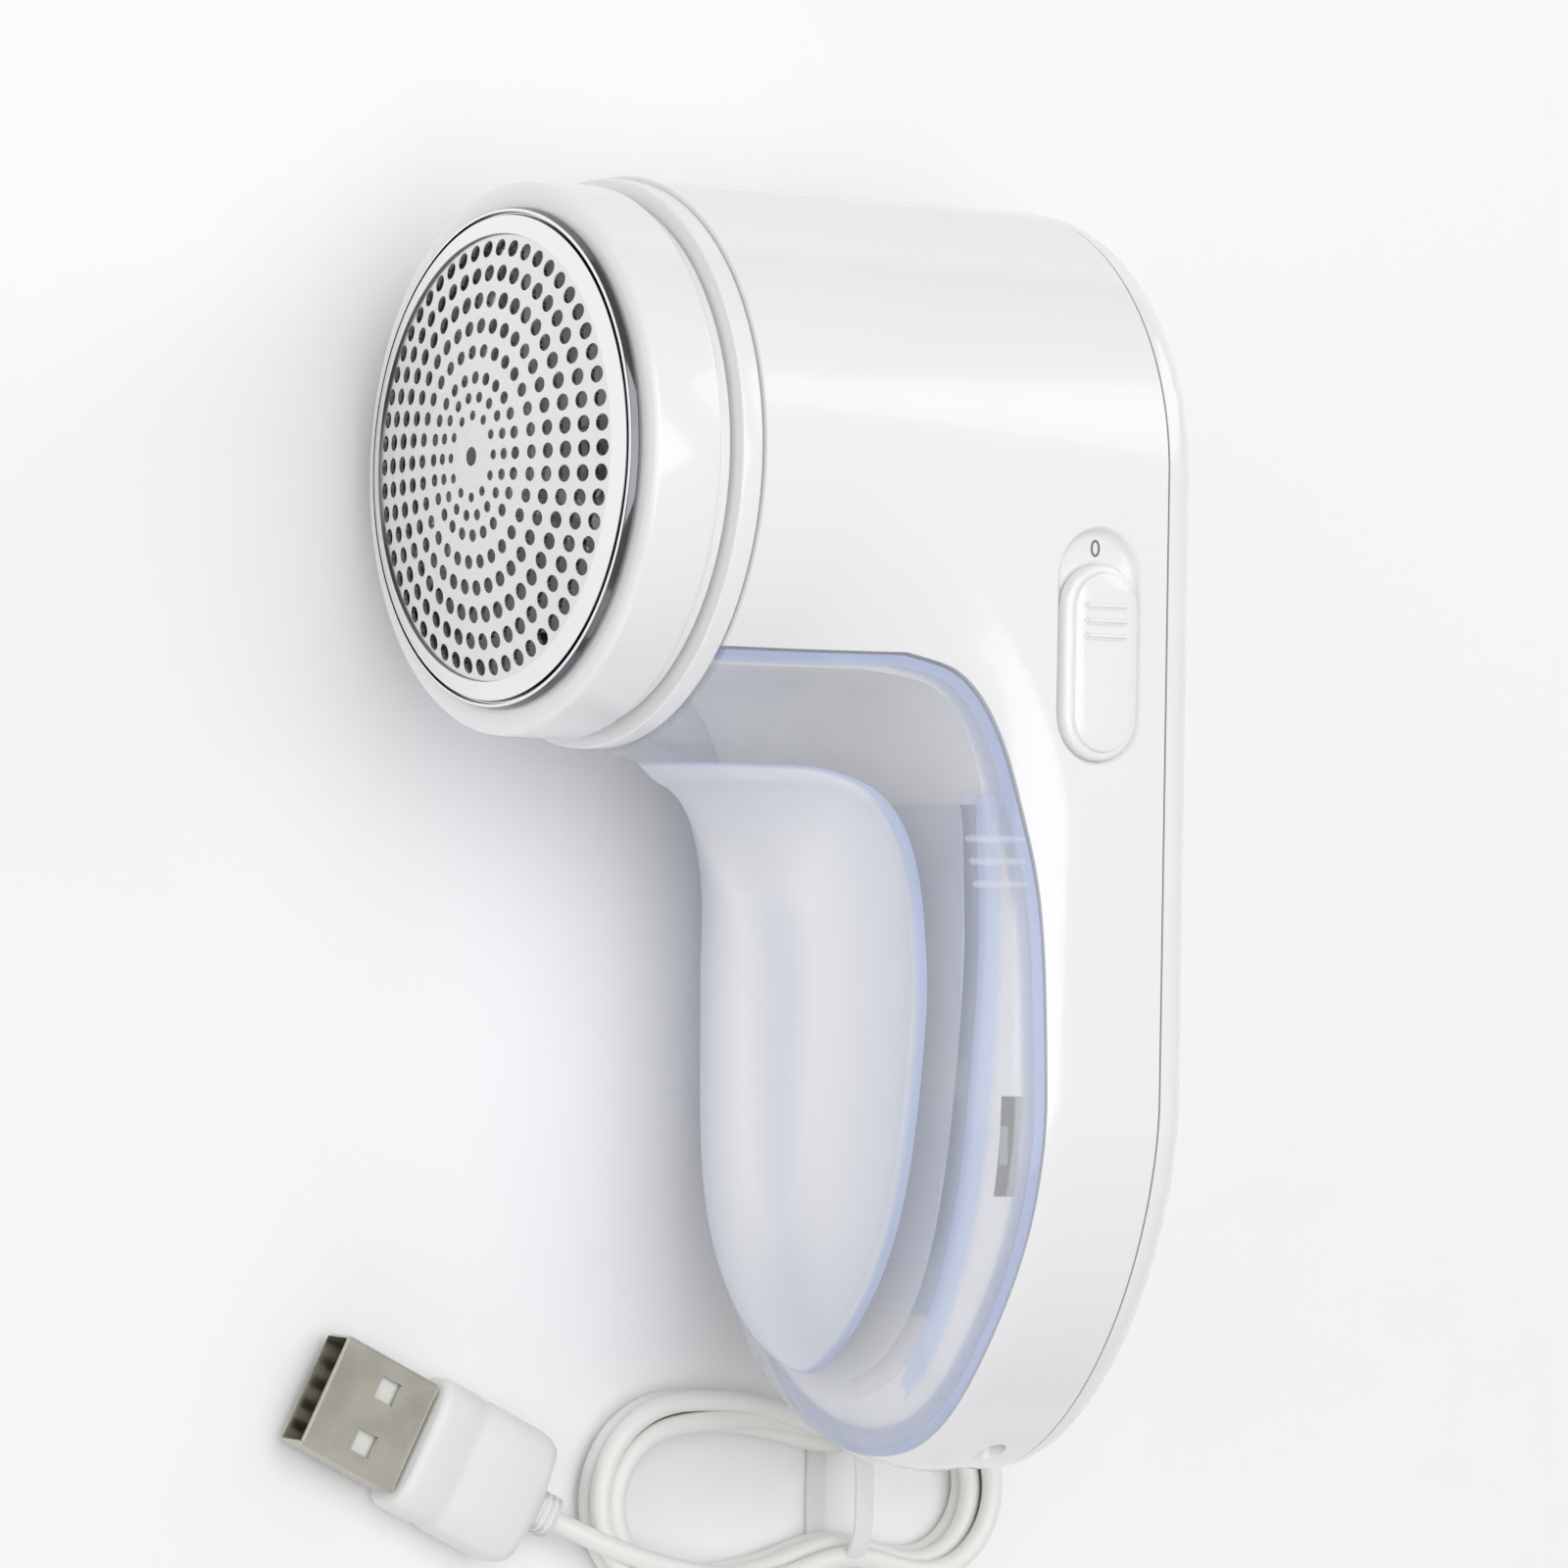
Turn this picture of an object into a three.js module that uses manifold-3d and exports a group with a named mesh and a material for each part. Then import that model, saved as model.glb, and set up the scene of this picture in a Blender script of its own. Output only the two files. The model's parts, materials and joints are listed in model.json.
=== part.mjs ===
// A rechargeable fabric shaver with its charging lead, in millimetres.
// While it is built, x runs from the foil at the front to the rear cover, y runs up the handle to
// the head and z runs out through the switch flank. The origin is on the head's axis, at the front
// face of the guard collar. The finished group is moved so that the shaver lies on its far flank,
// on z = 0, with the origin under the middle of its box.
import * as THREE from 'three';
import { mergeVertices } from 'three/addons/utils/BufferGeometryUtils.js';
import Module from 'manifold-3d';

const wasm = await Module();
wasm.setup();

// ---------------------------------------------------------------- driving dimensions

const GAP = 0.3; // between pieces that touch
const R = 28.5; // outer radius of the barrel, and half the width of the handle
const WALL = 2; // housing wall
const LIP_GAP = 0.8; // between the rear cover's lip and the housing wall
const BIN_WALL = 1.8;
const BIN_BACK = 1.2; // the bin's flat rear wall
const SIDES = 44; // facets round the head

const BODY = { front: 11.6, rear: 59.5 };
const COVER = { front: 59.8, rear: 63.8, lip: 58.2, inside: 61.6 };
const HANDLE = {
  centre: 48.3, // where the rounded front meets the flat flanks
  nose: 15, // how far the front bulges ahead of that
  low: -62, // height where the handle's end starts to narrow
  reach: 38.8, // how far the pointed, rounded end goes on below that
  sweep: 5, // how far the rounded end leans back
};
const LOW_STEPS = [0.26, 0.48, 0.66, 0.8, 0.9, 0.96, 0.99]; // places down the handle's end
const NECK = { radius: 20, x: 13.3, y: -50, halfWidth: 12 };

const COLLAR = { rear: 7.4, outer: 27.1, bore: 23.4, spigot: 24.3, spigotRear: 10.4 };
const RING = { front: 7.7, step: 9.2, rear: 11.3, neck: 26.2, outer: 27.8, bore: 24.6 };
const BEZEL = { front: -2, flange: 24.6, eye: 21.9, sleeve: 23.1, seat: 22.5, depth: 3.5 };
const FOIL = { radius: 22.4, edge: -1.6, rise: 2.5, thickness: 0.4, hole: 0.9, pitch: 5.8 };

const CHAMBER = { front: 4.5, back: 18, wall: 1.6, outer: 22.6, inner: 21, flange: 26.2 };
const MOUTH = { front: 10.8, floorFront: 11, back: 17.6, halfWidth: 10, top: -14, bottom: -24 };

const SHAFT = 1;
const MOTOR = { front: 22, length: 28, radius: 12 };
const BATTERY = { radius: 7, length: 43.5, x: 51.5, z: -12, top: -36 };
const BOARD = { x0: 45, x1: 59.2, top: -38, bottom: -86, z: 2, thickness: 1.6 };
const SWITCH = { x: 51.3, top: -5.6, bottom: -28.8, width: 9.9, depth: 1, travel: 3.2 };
const SOCKET = { x: 54.4, bore: 2.7, hole: 3.4, halfWidth: 3.5, top: -89.4, bottom: -97 };
const WINDOW = { x0: 43.3, x1: 45.4, bottom: -71.5, top: -61.6 };
const CATCH = { front: 43.8, rear: 44.8, reach: 19.7 };
const INDICATOR = { z: 8, radius: 1.3, top: -92.6, bottom: -97.5 };

const SCREWS = [[17, 17], [17, -17], [-85, 15], [-85, -15]]; // rear screws, as [y, z]
const FLOOR = -R; // the surface that the shaver lies on

const CORD = { radius: 1.1, step: 5.5 };
const HANK = { x: 53, y: -105.5, length: 48.6, width: 22, bottom: FLOOR + 1.3, height: 6.6 };
const USB = { tipX: -5.6, tipY: -92.4, angle: -27, shell: 12, grip: 19, width: 14.5, height: 7.5 };
const DC = { x: 76, tip: -48, barrel: 9.5, grip: 13, relief: 8, radius: 4.2 };

// ---------------------------------------------------------------- finishes

const finish = (color, roughness, metalness = 0) =>
  new THREE.MeshStandardMaterial({ color, roughness, metalness });

const WHITE = finish(0xf4f4f2, 0.22);
const CLEAR = finish(0xdfe6f5, 0.08);
CLEAR.transparent = true;
CLEAR.opacity = 0.45;
const CHROME = finish(0xe6e8ea, 0.08, 1);
const STEEL = finish(0xb9bcc0, 0.25, 1);
const BRASS = finish(0xc9a65a, 0.35, 1);
const INNER_PLASTIC = finish(0xdcdcd8, 0.45);
const DARK_PLASTIC = finish(0x33353a, 0.5);
const BOARD_GREEN = finish(0x2f6b46, 0.5);
const CELL_WRAP = finish(0x3f78b5, 0.35);
const LENS = finish(0xe4ebe6, 0.1);
const CORD_WHITE = finish(0xeeece6, 0.45);
const RED = finish(0xb8322c, 0.45);
const BLACK = finish(0x202124, 0.45);

// ---------------------------------------------------------------- geometry helpers

function solid(geometry) {
  const bare = new THREE.BufferGeometry();
  bare.setAttribute('position', geometry.getAttribute('position'));
  bare.setIndex(geometry.index);
  const merged = mergeVertices(bare, 1e-4);
  return new wasm.Manifold(new wasm.Mesh({
    numProp: 3,
    vertProperties: merged.getAttribute('position').array,
    triVerts: Uint32Array.from(merged.index.array),
  }));
}

function geometryOf(body) {
  const mesh = body.getMesh();
  const geometry = new THREE.BufferGeometry();
  geometry.setAttribute('position', new THREE.BufferAttribute(mesh.vertProperties, 3));
  geometry.setIndex(new THREE.BufferAttribute(mesh.triVerts, 1));
  return geometry.toNonIndexed();
}

const join = (...bodies) => bodies.reduce((sum, body) => sum.add(body));

// A ring or disc turned about the x axis from [x, radius] points, closed on itself or on the axis.
function turned(profile, sides = SIDES) {
  const closed = profile[0][1] > 0 ? [...profile, profile[0]] : profile;
  const points = closed.map(([x, radius]) => new THREE.Vector2(radius, x));
  return new THREE.LatheGeometry(points, sides).rotateZ(-Math.PI / 2);
}

const tube = (x0, x1, inner, outer, sides = SIDES) =>
  turned([[x0, inner], [x0, outer], [x1, outer], [x1, inner]], sides);

const rod = (x0, x1, radius, sides = 16) =>
  turned([[x0, 0], [x0, radius], [x1, radius], [x1, 0]], sides);

function box(x0, x1, y0, y1, z0, z1) {
  const geometry = new THREE.BoxGeometry(x1 - x0, y1 - y0, z1 - z0);
  return geometry.translate((x0 + x1) / 2, (y0 + y1) / 2, (z0 + z1) / 2);
}

// A side view outline, in x and y, made into a slab between two z values.
const slab = (points, z0, z1) =>
  new THREE.ExtrudeGeometry(new THREE.Shape(points), { depth: z1 - z0, bevelEnabled: false })
    .translate(0, 0, z0);

// A slot outline seen from the front: straight sides with round ends.
function stadium(halfWidth, top, bottom, segments = 16) {
  const shape = new THREE.Shape();
  shape.absarc(0, top, halfWidth, 0, Math.PI, false);
  shape.absarc(0, bottom, halfWidth, Math.PI, 2 * Math.PI, false);
  return new THREE.Shape(shape.getPoints(segments).slice(0, -1));
}

// A front view outline, in z and y, made into a plate between two x values.
function plate(shape, x0, x1, bevel = 0) {
  const geometry = new THREE.ExtrudeGeometry(shape, {
    depth: x1 - x0 - 2 * bevel,
    bevelEnabled: bevel > 0,
    bevelThickness: bevel,
    bevelSize: bevel,
    bevelOffset: -bevel,
    bevelSegments: 1,
  });
  return geometry.translate(0, 0, bevel).rotateY(Math.PI / 2).translate(x0, 0, 0);
}

// Rings of points joined up and capped at both ends.
function lofted(rings) {
  const count = rings[0].length;
  const index = [];
  for (let i = 0; i + 1 < rings.length; i++) {
    for (let j = 0; j < count; j++) {
      const a = i * count + j;
      const b = i * count + (j + 1) % count;
      index.push(a, a + count, b, b, a + count, b + count);
    }
  }
  const last = (rings.length - 1) * count;
  for (let j = 1; j + 1 < count; j++) {
    index.push(0, j, j + 1, last, last + j + 1, last + j);
  }
  const geometry = new THREE.BufferGeometry();
  geometry.setAttribute('position', new THREE.Float32BufferAttribute(rings.flat(2), 3));
  geometry.setIndex(index);
  return geometry;
}

const spline = (points) => new THREE.CatmullRomCurve3(points.map((p) => new THREE.Vector3(...p)));

// A round cord along a curve, capped at both ends.
function cord(points, radius = CORD.radius, step = CORD.step, sides = 8) {
  const curve = spline(points);
  const section = new THREE.Shape();
  section.absarc(0, 0, radius, 0, 2 * Math.PI, false);
  const outline = new THREE.Shape(section.getSpacedPoints(sides).slice(0, -1));
  const steps = Math.max(4, Math.round(curve.getLength() / step));
  return new THREE.ExtrudeGeometry(outline, { steps, extrudePath: curve });
}

// ---------------------------------------------------------------- the outer shape

// The handle's half width a share t of the way down its narrowing end.
const lowWidth = (t) => (1 - t ** 1.75) ** (1 / 1.75);

// The handle as a column with a rounded front and a pointed, rounded lower end, pulled in by inset.
function handle(inset, rear) {
  const half = R - inset;
  const nose = HANDLE.nose - inset;
  const levels = [[0, 0], [HANDLE.low, 0]];
  for (const t of LOW_STEPS) {
    levels.push([HANDLE.low - (HANDLE.reach - inset) * t, t]);
  }
  const rings = levels.map(([y, t]) => {
    const width = half * lowWidth(t);
    const depth = nose * Math.cbrt(1 - t ** 3);
    const centre = HANDLE.centre + HANDLE.sweep * t ** 4;
    const ring = [];
    for (let i = 0; i <= 12; i++) {
      const turn = Math.PI * (i / 12 - 0.5);
      ring.push([centre - depth * Math.cos(turn), y, width * Math.sin(turn)]);
    }
    ring.push([rear, y, width], [rear, y, -width]);
    return ring;
  });
  return solid(lofted(rings));
}

// The whole outline seen from the rear, as [z, y] points: a half circle, straight sides and the
// handle's narrowing end.
function rearOutline(inset) {
  const half = R - inset;
  const points = [];
  for (let i = 0; i <= 20; i++) {
    const turn = (Math.PI * i) / 20;
    points.push([half * Math.cos(turn), half * Math.sin(turn)]);
  }
  const low = [0, ...LOW_STEPS].map((t) => [-half * lowWidth(t), HANDLE.low - (HANDLE.reach - inset) * t]);
  const mirrored = low.map(([z, y]) => [-z, y]).reverse();
  return [...points, ...low, ...mirrored];
}

// The hollow curve between the underside of the barrel and the front of the handle.
function neck(inset) {
  const outline = new THREE.Shape();
  outline.moveTo(HANDLE.centre, NECK.y);
  outline.lineTo(HANDLE.centre, -R + 8);
  outline.lineTo(NECK.x, -R + 8);
  outline.absarc(NECK.x, NECK.y, NECK.radius + inset, Math.PI / 2, 0, true);
  const reach = NECK.halfWidth - inset;
  return solid(slab(outline.getPoints(8), -reach, reach));
}

// The whole shaver's skin, pulled in by inset, between two x values.
function skin(inset, front, rear) {
  const barrel = solid(rod(front, rear, R - inset, SIDES));
  return join(barrel, handle(inset, rear), neck(inset));
}

// Two lines in side view. The bin ends at the rim, and the housing's tongue reaches forward under
// the bin's skirts as far as the tongue line.
const RIM = [[31, -18.4], [36.3, -20.2], [40.2, -24.8], [43, -32], [45.2, -43], [46, -58], [46, -74],
  [45.2, -88], [44.7, -104]];
const TONGUE = [[29, -20], [35.2, -21.4], [38.9, -25.2], [41.4, -32.4], [42, -42], [41.9, -52],
  [41.2, -70], [41, -88], [41.2, -104]];

function sideCurve(points, shift = 0) {
  const moved = points.map(([x, y]) => new THREE.Vector2(x + shift, y + shift));
  return new THREE.SplineCurve(moved).getPoints(14);
}

// Everything in front of and below a side curve, shifted back and up by shift.
function ahead(points, shift = 0, front = -20) {
  const curve = sideCurve(points, shift);
  const level = points[0][1] + shift;
  const outline = [[front, -110], [front, level]].map(([x, y]) => new THREE.Vector2(x, y));
  return solid(slab([...outline, ...curve, new THREE.Vector2(curve.at(-1).x, -110)], -40, 40));
}

const screwHole = (y, z, x0, x1, radius, sides = 12) =>
  solid(rod(x0, x1, radius, sides).translate(0, y, z));

// ---------------------------------------------------------------- housing and cover

function mainHousing() {
  let body = skin(0, BODY.front, BODY.rear).subtract(ahead(RIM));
  body = body.add(skin(BIN_WALL + GAP, BODY.front, BODY.rear).subtract(ahead(TONGUE)));
  const room = skin(WALL, 0, 70).subtract(ahead(RIM, BIN_WALL));
  const tongueRoom = skin(BIN_WALL + GAP + BIN_WALL, 0, 70).subtract(ahead(TONGUE, BIN_WALL));
  body = body.subtract(room).subtract(tongueRoom);
  for (const [y, z] of SCREWS) {
    const boss = screwHole(y, z, y > 0 ? 38 : 47, BODY.rear, 3, 16);
    body = body.add(boss.intersect(skin(WALL / 2, 0, 70)));
  }
  for (const [y, z] of SCREWS) {
    body = body.subtract(screwHole(y, z, 50, 70, 1.5));
  }
  body = body.subtract(solid(box(MOUTH.floorFront, MOUTH.back, -26, -16, -MOUTH.halfWidth,
    MOUTH.halfWidth)));
  for (const side of [1, -1]) {
    const z = [side * 19, side * 27].sort((a, b) => a - b);
    body = body.subtract(solid(box(WINDOW.x0, WINDOW.x1, WINDOW.bottom, WINDOW.top, ...z)));
  }
  const recess = switchOutline(SWITCH.width, SWITCH.top, SWITCH.bottom);
  body = body.subtract(solid(slab(recess, R - SWITCH.depth, R + 1)));
  const slot = box(SWITCH.x - 1.8, SWITCH.x + 1.8, -23.5, -14, R - 4, R + 1);
  body = body.subtract(solid(slot));
  const socketHole = rod(0, 12, SOCKET.hole, 20).rotateZ(-Math.PI / 2);
  body = body.subtract(solid(socketHole.translate(SOCKET.x, SOCKET.bottom + 3, 0)));
  const lensHole = rod(0, 12, INDICATOR.radius + GAP, 12).rotateZ(-Math.PI / 2);
  return body.subtract(solid(lensHole.translate(SOCKET.x, INDICATOR.top + 1, INDICATOR.z)));
}

// The switch recess and knob outlines: straight sides with round ends, in x and y.
function switchOutline(width, top, bottom, segments = 8) {
  const radius = width / 2;
  const shape = new THREE.Shape();
  shape.absarc(SWITCH.x, top - radius, radius, 0, Math.PI, false);
  shape.absarc(SWITCH.x, bottom + radius, radius, Math.PI, 2 * Math.PI, false);
  return shape.getPoints(segments).slice(0, -1);
}

function rearCover() {
  const rounding = [[COVER.front, 0.1], [61.4, 0.3], [62.7, 1.1], [63.5, 2.4], [COVER.rear, 4.2]];
  const level = ([x, inset]) => rearOutline(inset).map(([z, y]) => [x, y, z]);
  let cover = solid(lofted(rounding.map(level)));
  const rim = (inset, x0, x1) => solid(lofted([[x0, inset], [x1, inset]].map(level)));
  cover = cover.subtract(rim(WALL + LIP_GAP + 1.5, COVER.front - 1, COVER.inside));
  let lip = rim(WALL + LIP_GAP, COVER.lip, COVER.front + 0.5)
    .subtract(rim(WALL + LIP_GAP + 1.5, COVER.lip - 1, COVER.front + 1));
  for (const [y, z] of SCREWS) {
    lip = lip.subtract(screwHole(y, z, 56, COVER.front, 3 + GAP, 16));
  }
  cover = cover.add(lip);
  for (const [y, z] of SCREWS) {
    cover = cover.subtract(screwHole(y, z, 55, 70, 1.5));
    cover = cover.subtract(screwHole(y, z, COVER.rear - 1.2, 70, 3, 16));
  }
  return cover;
}

function coverScrew(y, z) {
  const top = COVER.rear - 0.2;
  const profile = [[51, 0], [51, 1.2], [top - 0.8, 1.2], [top - 0.7, 2.6], [top, 2.6], [top, 0]];
  const slot = box(top - 0.5, 65, -1.8, 1.8, -0.3, 0.3);
  const cross = box(top - 0.5, 65, -0.3, 0.3, -1.8, 1.8);
  const screw = solid(turned(profile, 16)).subtract(solid(slot)).subtract(solid(cross));
  return geometryOf(screw).translate(0, y, z);
}

// ---------------------------------------------------------------- cutting head

function lockRing() {
  const { front, step, rear, neck: narrow, outer, bore } = RING;
  return turned([[front, bore], [front, narrow], [step, narrow], [step, outer], [rear, outer],
    [rear, bore]]);
}

function guardCollar() {
  const { rear, outer, bore, spigot, spigotRear } = COLLAR;
  return turned([[0, bore], [0, outer], [rear, outer], [rear, spigot], [spigotRear, spigot],
    [spigotRear, bore]]);
}

function foilBezel() {
  const { front, flange, eye, sleeve, seat, depth } = BEZEL;
  return turned([[front, eye], [front + 0.7, flange - 0.7], [front + 0.9, flange],
    [-GAP, flange], [-GAP, sleeve], [depth, sleeve], [depth, seat], [-0.9, seat], [-0.9, eye]]);
}

const foilHeight = (radius) => FOIL.edge - FOIL.rise * (1 - (radius / FOIL.radius) ** 2);

function cuttingFoil() {
  const stations = [0, 0.35, 0.7, 0.97].map((share) => share * FOIL.radius);
  const outside = stations.map((r) => [foilHeight(r), r]);
  const inside = stations.map((r) => [foilHeight(r) + FOIL.thickness, r]).reverse();
  let foil = solid(turned([...outside, ...inside], 32));
  for (let ring = 0; ring <= 3; ring++) {
    const count = Math.max(1, ring * 6);
    for (let i = 0; i < count; i++) {
      const turn = (2 * Math.PI * i) / count;
      const radius = ring * FOIL.pitch;
      foil = foil.subtract(screwHole(radius * Math.cos(turn), radius * Math.sin(turn), -6, 3,
        FOIL.hole, 6));
    }
  }
  return foil;
}

function cutterCarrier() {
  let carrier = solid(tube(1.2, 6.2, 1.3, 5, 24));
  for (let i = 0; i < 3; i++) {
    const arm = box(1.2, 3.4, 4, 20.4, -2, 2).rotateX((2 * Math.PI * i) / 3);
    carrier = carrier.add(solid(arm));
  }
  return carrier;
}

// A steel blade that stands on one arm and follows the dome of the foil.
function cutterBlade(i) {
  const edge = [[0.9, 6], [0.9, 20.4], [-0.8, 20.4], [-2.1, 13.5], [-2.9, 6]];
  const blade = slab(edge.map(([x, y]) => new THREE.Vector2(x, y)), -0.3, 0.3);
  return blade.rotateX((2 * Math.PI * i) / 3);
}

function cutterSpring() {
  const turns = 3;
  const points = [];
  for (let i = 0; i <= turns * 8; i++) {
    const turn = (2 * Math.PI * i) / 8;
    points.push([6.9 + (3.2 * i) / (turns * 8), 3.4 * Math.cos(turn), 3.4 * Math.sin(turn)]);
  }
  return cord(points, 0.3, 1.8, 6);
}

const driveCoupling = () =>
  turned([[7.6, 1.3], [7.6, 2.6], [10.6, 2.6], [10.6, 5], [12, 5], [12, 1.3]], 24);

function cutterChamber() {
  const { front, back, wall, outer, inner, flange } = CHAMBER;
  let cup = solid(tube(front, back + wall, inner, outer));
  const disc = solid(tube(back, back + wall, 2.4, flange));
  cup = cup.add(disc);
  cup = cup.subtract(solid(box(back - 0.4, back + wall + 1, -40, -16.2, -40, 40)));
  cup = cup.subtract(solid(box(MOUTH.front, MOUTH.back + 1, MOUTH.bottom, MOUTH.top,
    -MOUTH.halfWidth, MOUTH.halfWidth)));
  cup = cup.subtract(solid(box(11.3, back + 4, -40, -16.2, -40, 40)));
  for (const z of [15.5, -15.5]) {
    cup = cup.subtract(screwHole(0, z, back - 1, back + wall + 1, 1.3));
  }
  return cup;
}

// ---------------------------------------------------------------- motor

const motorShaft = () => rod(2.2, MOTOR.front - GAP, SHAFT, 12);
const motorCan = () => rod(MOTOR.front, MOTOR.front + MOTOR.length, MOTOR.radius, 32);
const motorEndCap = () =>
  rod(MOTOR.front + MOTOR.length + GAP, MOTOR.front + MOTOR.length + 3, MOTOR.radius - 0.4, 32);

function motorMount() {
  const face = CHAMBER.back + CHAMBER.wall + GAP;
  const sleeve = MOTOR.radius + GAP;
  let mount = solid(turned([[face, 4], [face, 17.6], [MOTOR.front - GAP, 17.6],
    [MOTOR.front - GAP, sleeve + 1.8], [34, sleeve + 1.8], [34, sleeve],
    [MOTOR.front - GAP, sleeve], [MOTOR.front - GAP, 4]], 32));
  mount = mount.subtract(solid(box(face - 1, 40, -40, -16.2, -40, 40)));
  for (const z of [15.5, -15.5]) {
    mount = mount.subtract(screwHole(0, z, face - 1, MOTOR.front + 1, 1.3));
  }
  return mount;
}

function motorScrew(z) {
  const seat = MOTOR.front;
  const profile = [[18.3, 0], [18.3, 1], [seat, 1], [seat, 1.3], [seat + 1.3, 1.3], [seat + 1.3, 0]];
  return turned(profile, 12).translate(0, 0, z);
}

const motorTerminal = (y) => box(53.3, 55.6, y - 1.2, y + 1.2, -0.25, 0.25);

// ---------------------------------------------------------------- lint bin

// The frosted grip pad's outline seen from the front, as the half with z above 0.
function padOutline() {
  const half = [[0, -29.2], [9, -29.3], [15, -30], [18, -33.8], [19.2, -44], [19.6, -54],
    [18, -69.5], [14.3, -79.6], [8, -86.8], [0, -90.4]];
  const mirrored = half.slice(1, -1).map(([z, y]) => [-z, y]).reverse();
  const points = [...half, ...mirrored].map(([z, y]) => new THREE.Vector2(z, y));
  return new THREE.Shape(points);
}

function lintBin() {
  const front = BODY.front + GAP;
  const rim = ahead(RIM, -GAP);
  let shell = skin(0, front, 70).intersect(rim).subtract(skin(BIN_WALL, 0, 75));
  const pad = handle(-0.8, 70).subtract(handle(0.6, 75));
  shell = shell.add(pad.intersect(solid(plate(padOutline(), 20, 47))).intersect(rim));
  const backWall = ahead(TONGUE, -GAP).subtract(ahead(TONGUE, -GAP - BIN_BACK));
  const low = solid(box(20, 60, -120, -33, -40, 40));
  shell = shell.add(skin(BIN_WALL / 2, front, 70).intersect(backWall).intersect(low));
  return shell;
}

function binCatch(side) {
  const near = side * CATCH.reach;
  const leaf = [[near, -73], [near, -60.5], [near + side * 0.5, -60.5]];
  leaf.push([near + side * 0.5, -62.6], [near + side * 3.7, -64.6], [near + side * 3.7, -68.4]);
  leaf.push([near + side * 0.5, -70.6], [near + side * 0.5, -73]);
  const shape = new THREE.Shape(leaf.map(([z, y]) => new THREE.Vector2(-z, y)));
  return plate(shape, CATCH.front, CATCH.rear);
}

// ---------------------------------------------------------------- battery, board, switch, socket

const batteryCell = () =>
  rod(0, BATTERY.length, BATTERY.radius, 24).rotateZ(-Math.PI / 2)
    .translate(BATTERY.x, BATTERY.top, BATTERY.z);

function batteryTab(end) {
  const y = end > 0 ? BATTERY.top + GAP : BATTERY.top - BATTERY.length - GAP - 0.5;
  return box(BATTERY.x - 2.5, BATTERY.x + 2.5, y, y + 0.5, BATTERY.z - 3, BATTERY.z + 3);
}

const circuitBoard = () =>
  box(BOARD.x0, BOARD.x1, BOARD.bottom, BOARD.top, BOARD.z, BOARD.z + BOARD.thickness);

function controllerChip() {
  const z = BOARD.z + BOARD.thickness + GAP;
  return box(49, 54, -66, -60, z, z + 1.5);
}

function switchKnob() {
  const top = SWITCH.top - SWITCH.travel - GAP;
  const outline = switchOutline(SWITCH.width - 0.9, top, SWITCH.bottom + GAP);
  const base = R - SWITCH.depth + GAP;
  let knob = solid(slab(outline, base, R + 0.5));
  const pad = switchOutline(SWITCH.width - 2.6, top - 0.9, SWITCH.bottom + GAP + 0.9);
  knob = knob.add(solid(slab(pad, R, R + 1)));
  for (const y of [-13.2, -14.7, -16.2]) {
    knob = knob.add(solid(box(SWITCH.x - 2.6, SWITCH.x + 2.6, y - 0.35, y + 0.35, R + 0.8, R + 1.4)));
  }
  return knob.add(solid(box(SWITCH.x - 1.2, SWITCH.x + 1.2, -23, -19.5, 24.6, R)));
}

const switchLever = () => box(SWITCH.x - 1, SWITCH.x + 1, -22.6, -20, 21.6, 24.3);

function switchBody() {
  const block = solid(box(SWITCH.x - 4.5, SWITCH.x + 4.5, -28, -12, 14, 23.6));
  return block.subtract(solid(box(SWITCH.x - 1.5, SWITCH.x + 1.5, -23.4, -15.8, 21, 25)));
}

function chargeSocket() {
  const { x, bore, halfWidth, top, bottom } = SOCKET;
  const block = solid(box(x - halfWidth, x + halfWidth, bottom, top, -halfWidth, halfWidth));
  return block.subtract(solid(rod(0, 8, bore, 20).rotateZ(-Math.PI / 2).translate(x, bottom + 7.5, 0)));
}

const socketPin = () =>
  rod(0, 6.2, 0.7, 10).rotateZ(-Math.PI / 2).translate(SOCKET.x, SOCKET.bottom + 7.1, 0);

const indicatorLens = () =>
  rod(0, INDICATOR.top - INDICATOR.bottom, INDICATOR.radius, 12).rotateZ(-Math.PI / 2)
    .translate(SOCKET.x, INDICATOR.top, INDICATOR.z);

const WIRES = [
  ['wire_motor_red', RED, [[56.4, 3, 0.6], [57, -6, 3], [56, -20, 6.5], [53, -30, 6], [50, -37, 3]]],
  ['wire_motor_black', BLACK, [[56.4, -3, -0.6], [58, -14, 0], [58, -26, 2], [56, -37, 3]]],
  ['wire_cell_red', RED, [[51.5, -34.6, -9], [52.5, -32.5, -6], [53, -33, -2], [53, -37.2, 1]]],
  ['wire_cell_black', BLACK, [[51.5, -81.4, -10], [52, -83, -6.5], [52, -86.2, -2.5], [52, -87, 1.2]]],
];

// ---------------------------------------------------------------- charging lead

const onUsb = (geometry) =>
  geometry.rotateZ(THREE.MathUtils.degToRad(USB.angle))
    .translate(USB.tipX, USB.tipY, FLOOR + USB.height / 2);

function usbShell() {
  const outer = solid(box(0, USB.shell, -6, 6, -2.25, 2.25));
  return onUsb(geometryOf(outer.subtract(solid(box(-1, USB.shell - 0.6, -5.6, 5.6, -1.85, 1.85)))));
}

const usbTongue = () => onUsb(box(1, USB.shell - 0.6 - GAP, -5.2, 5.2, 0, 1.5));

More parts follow.
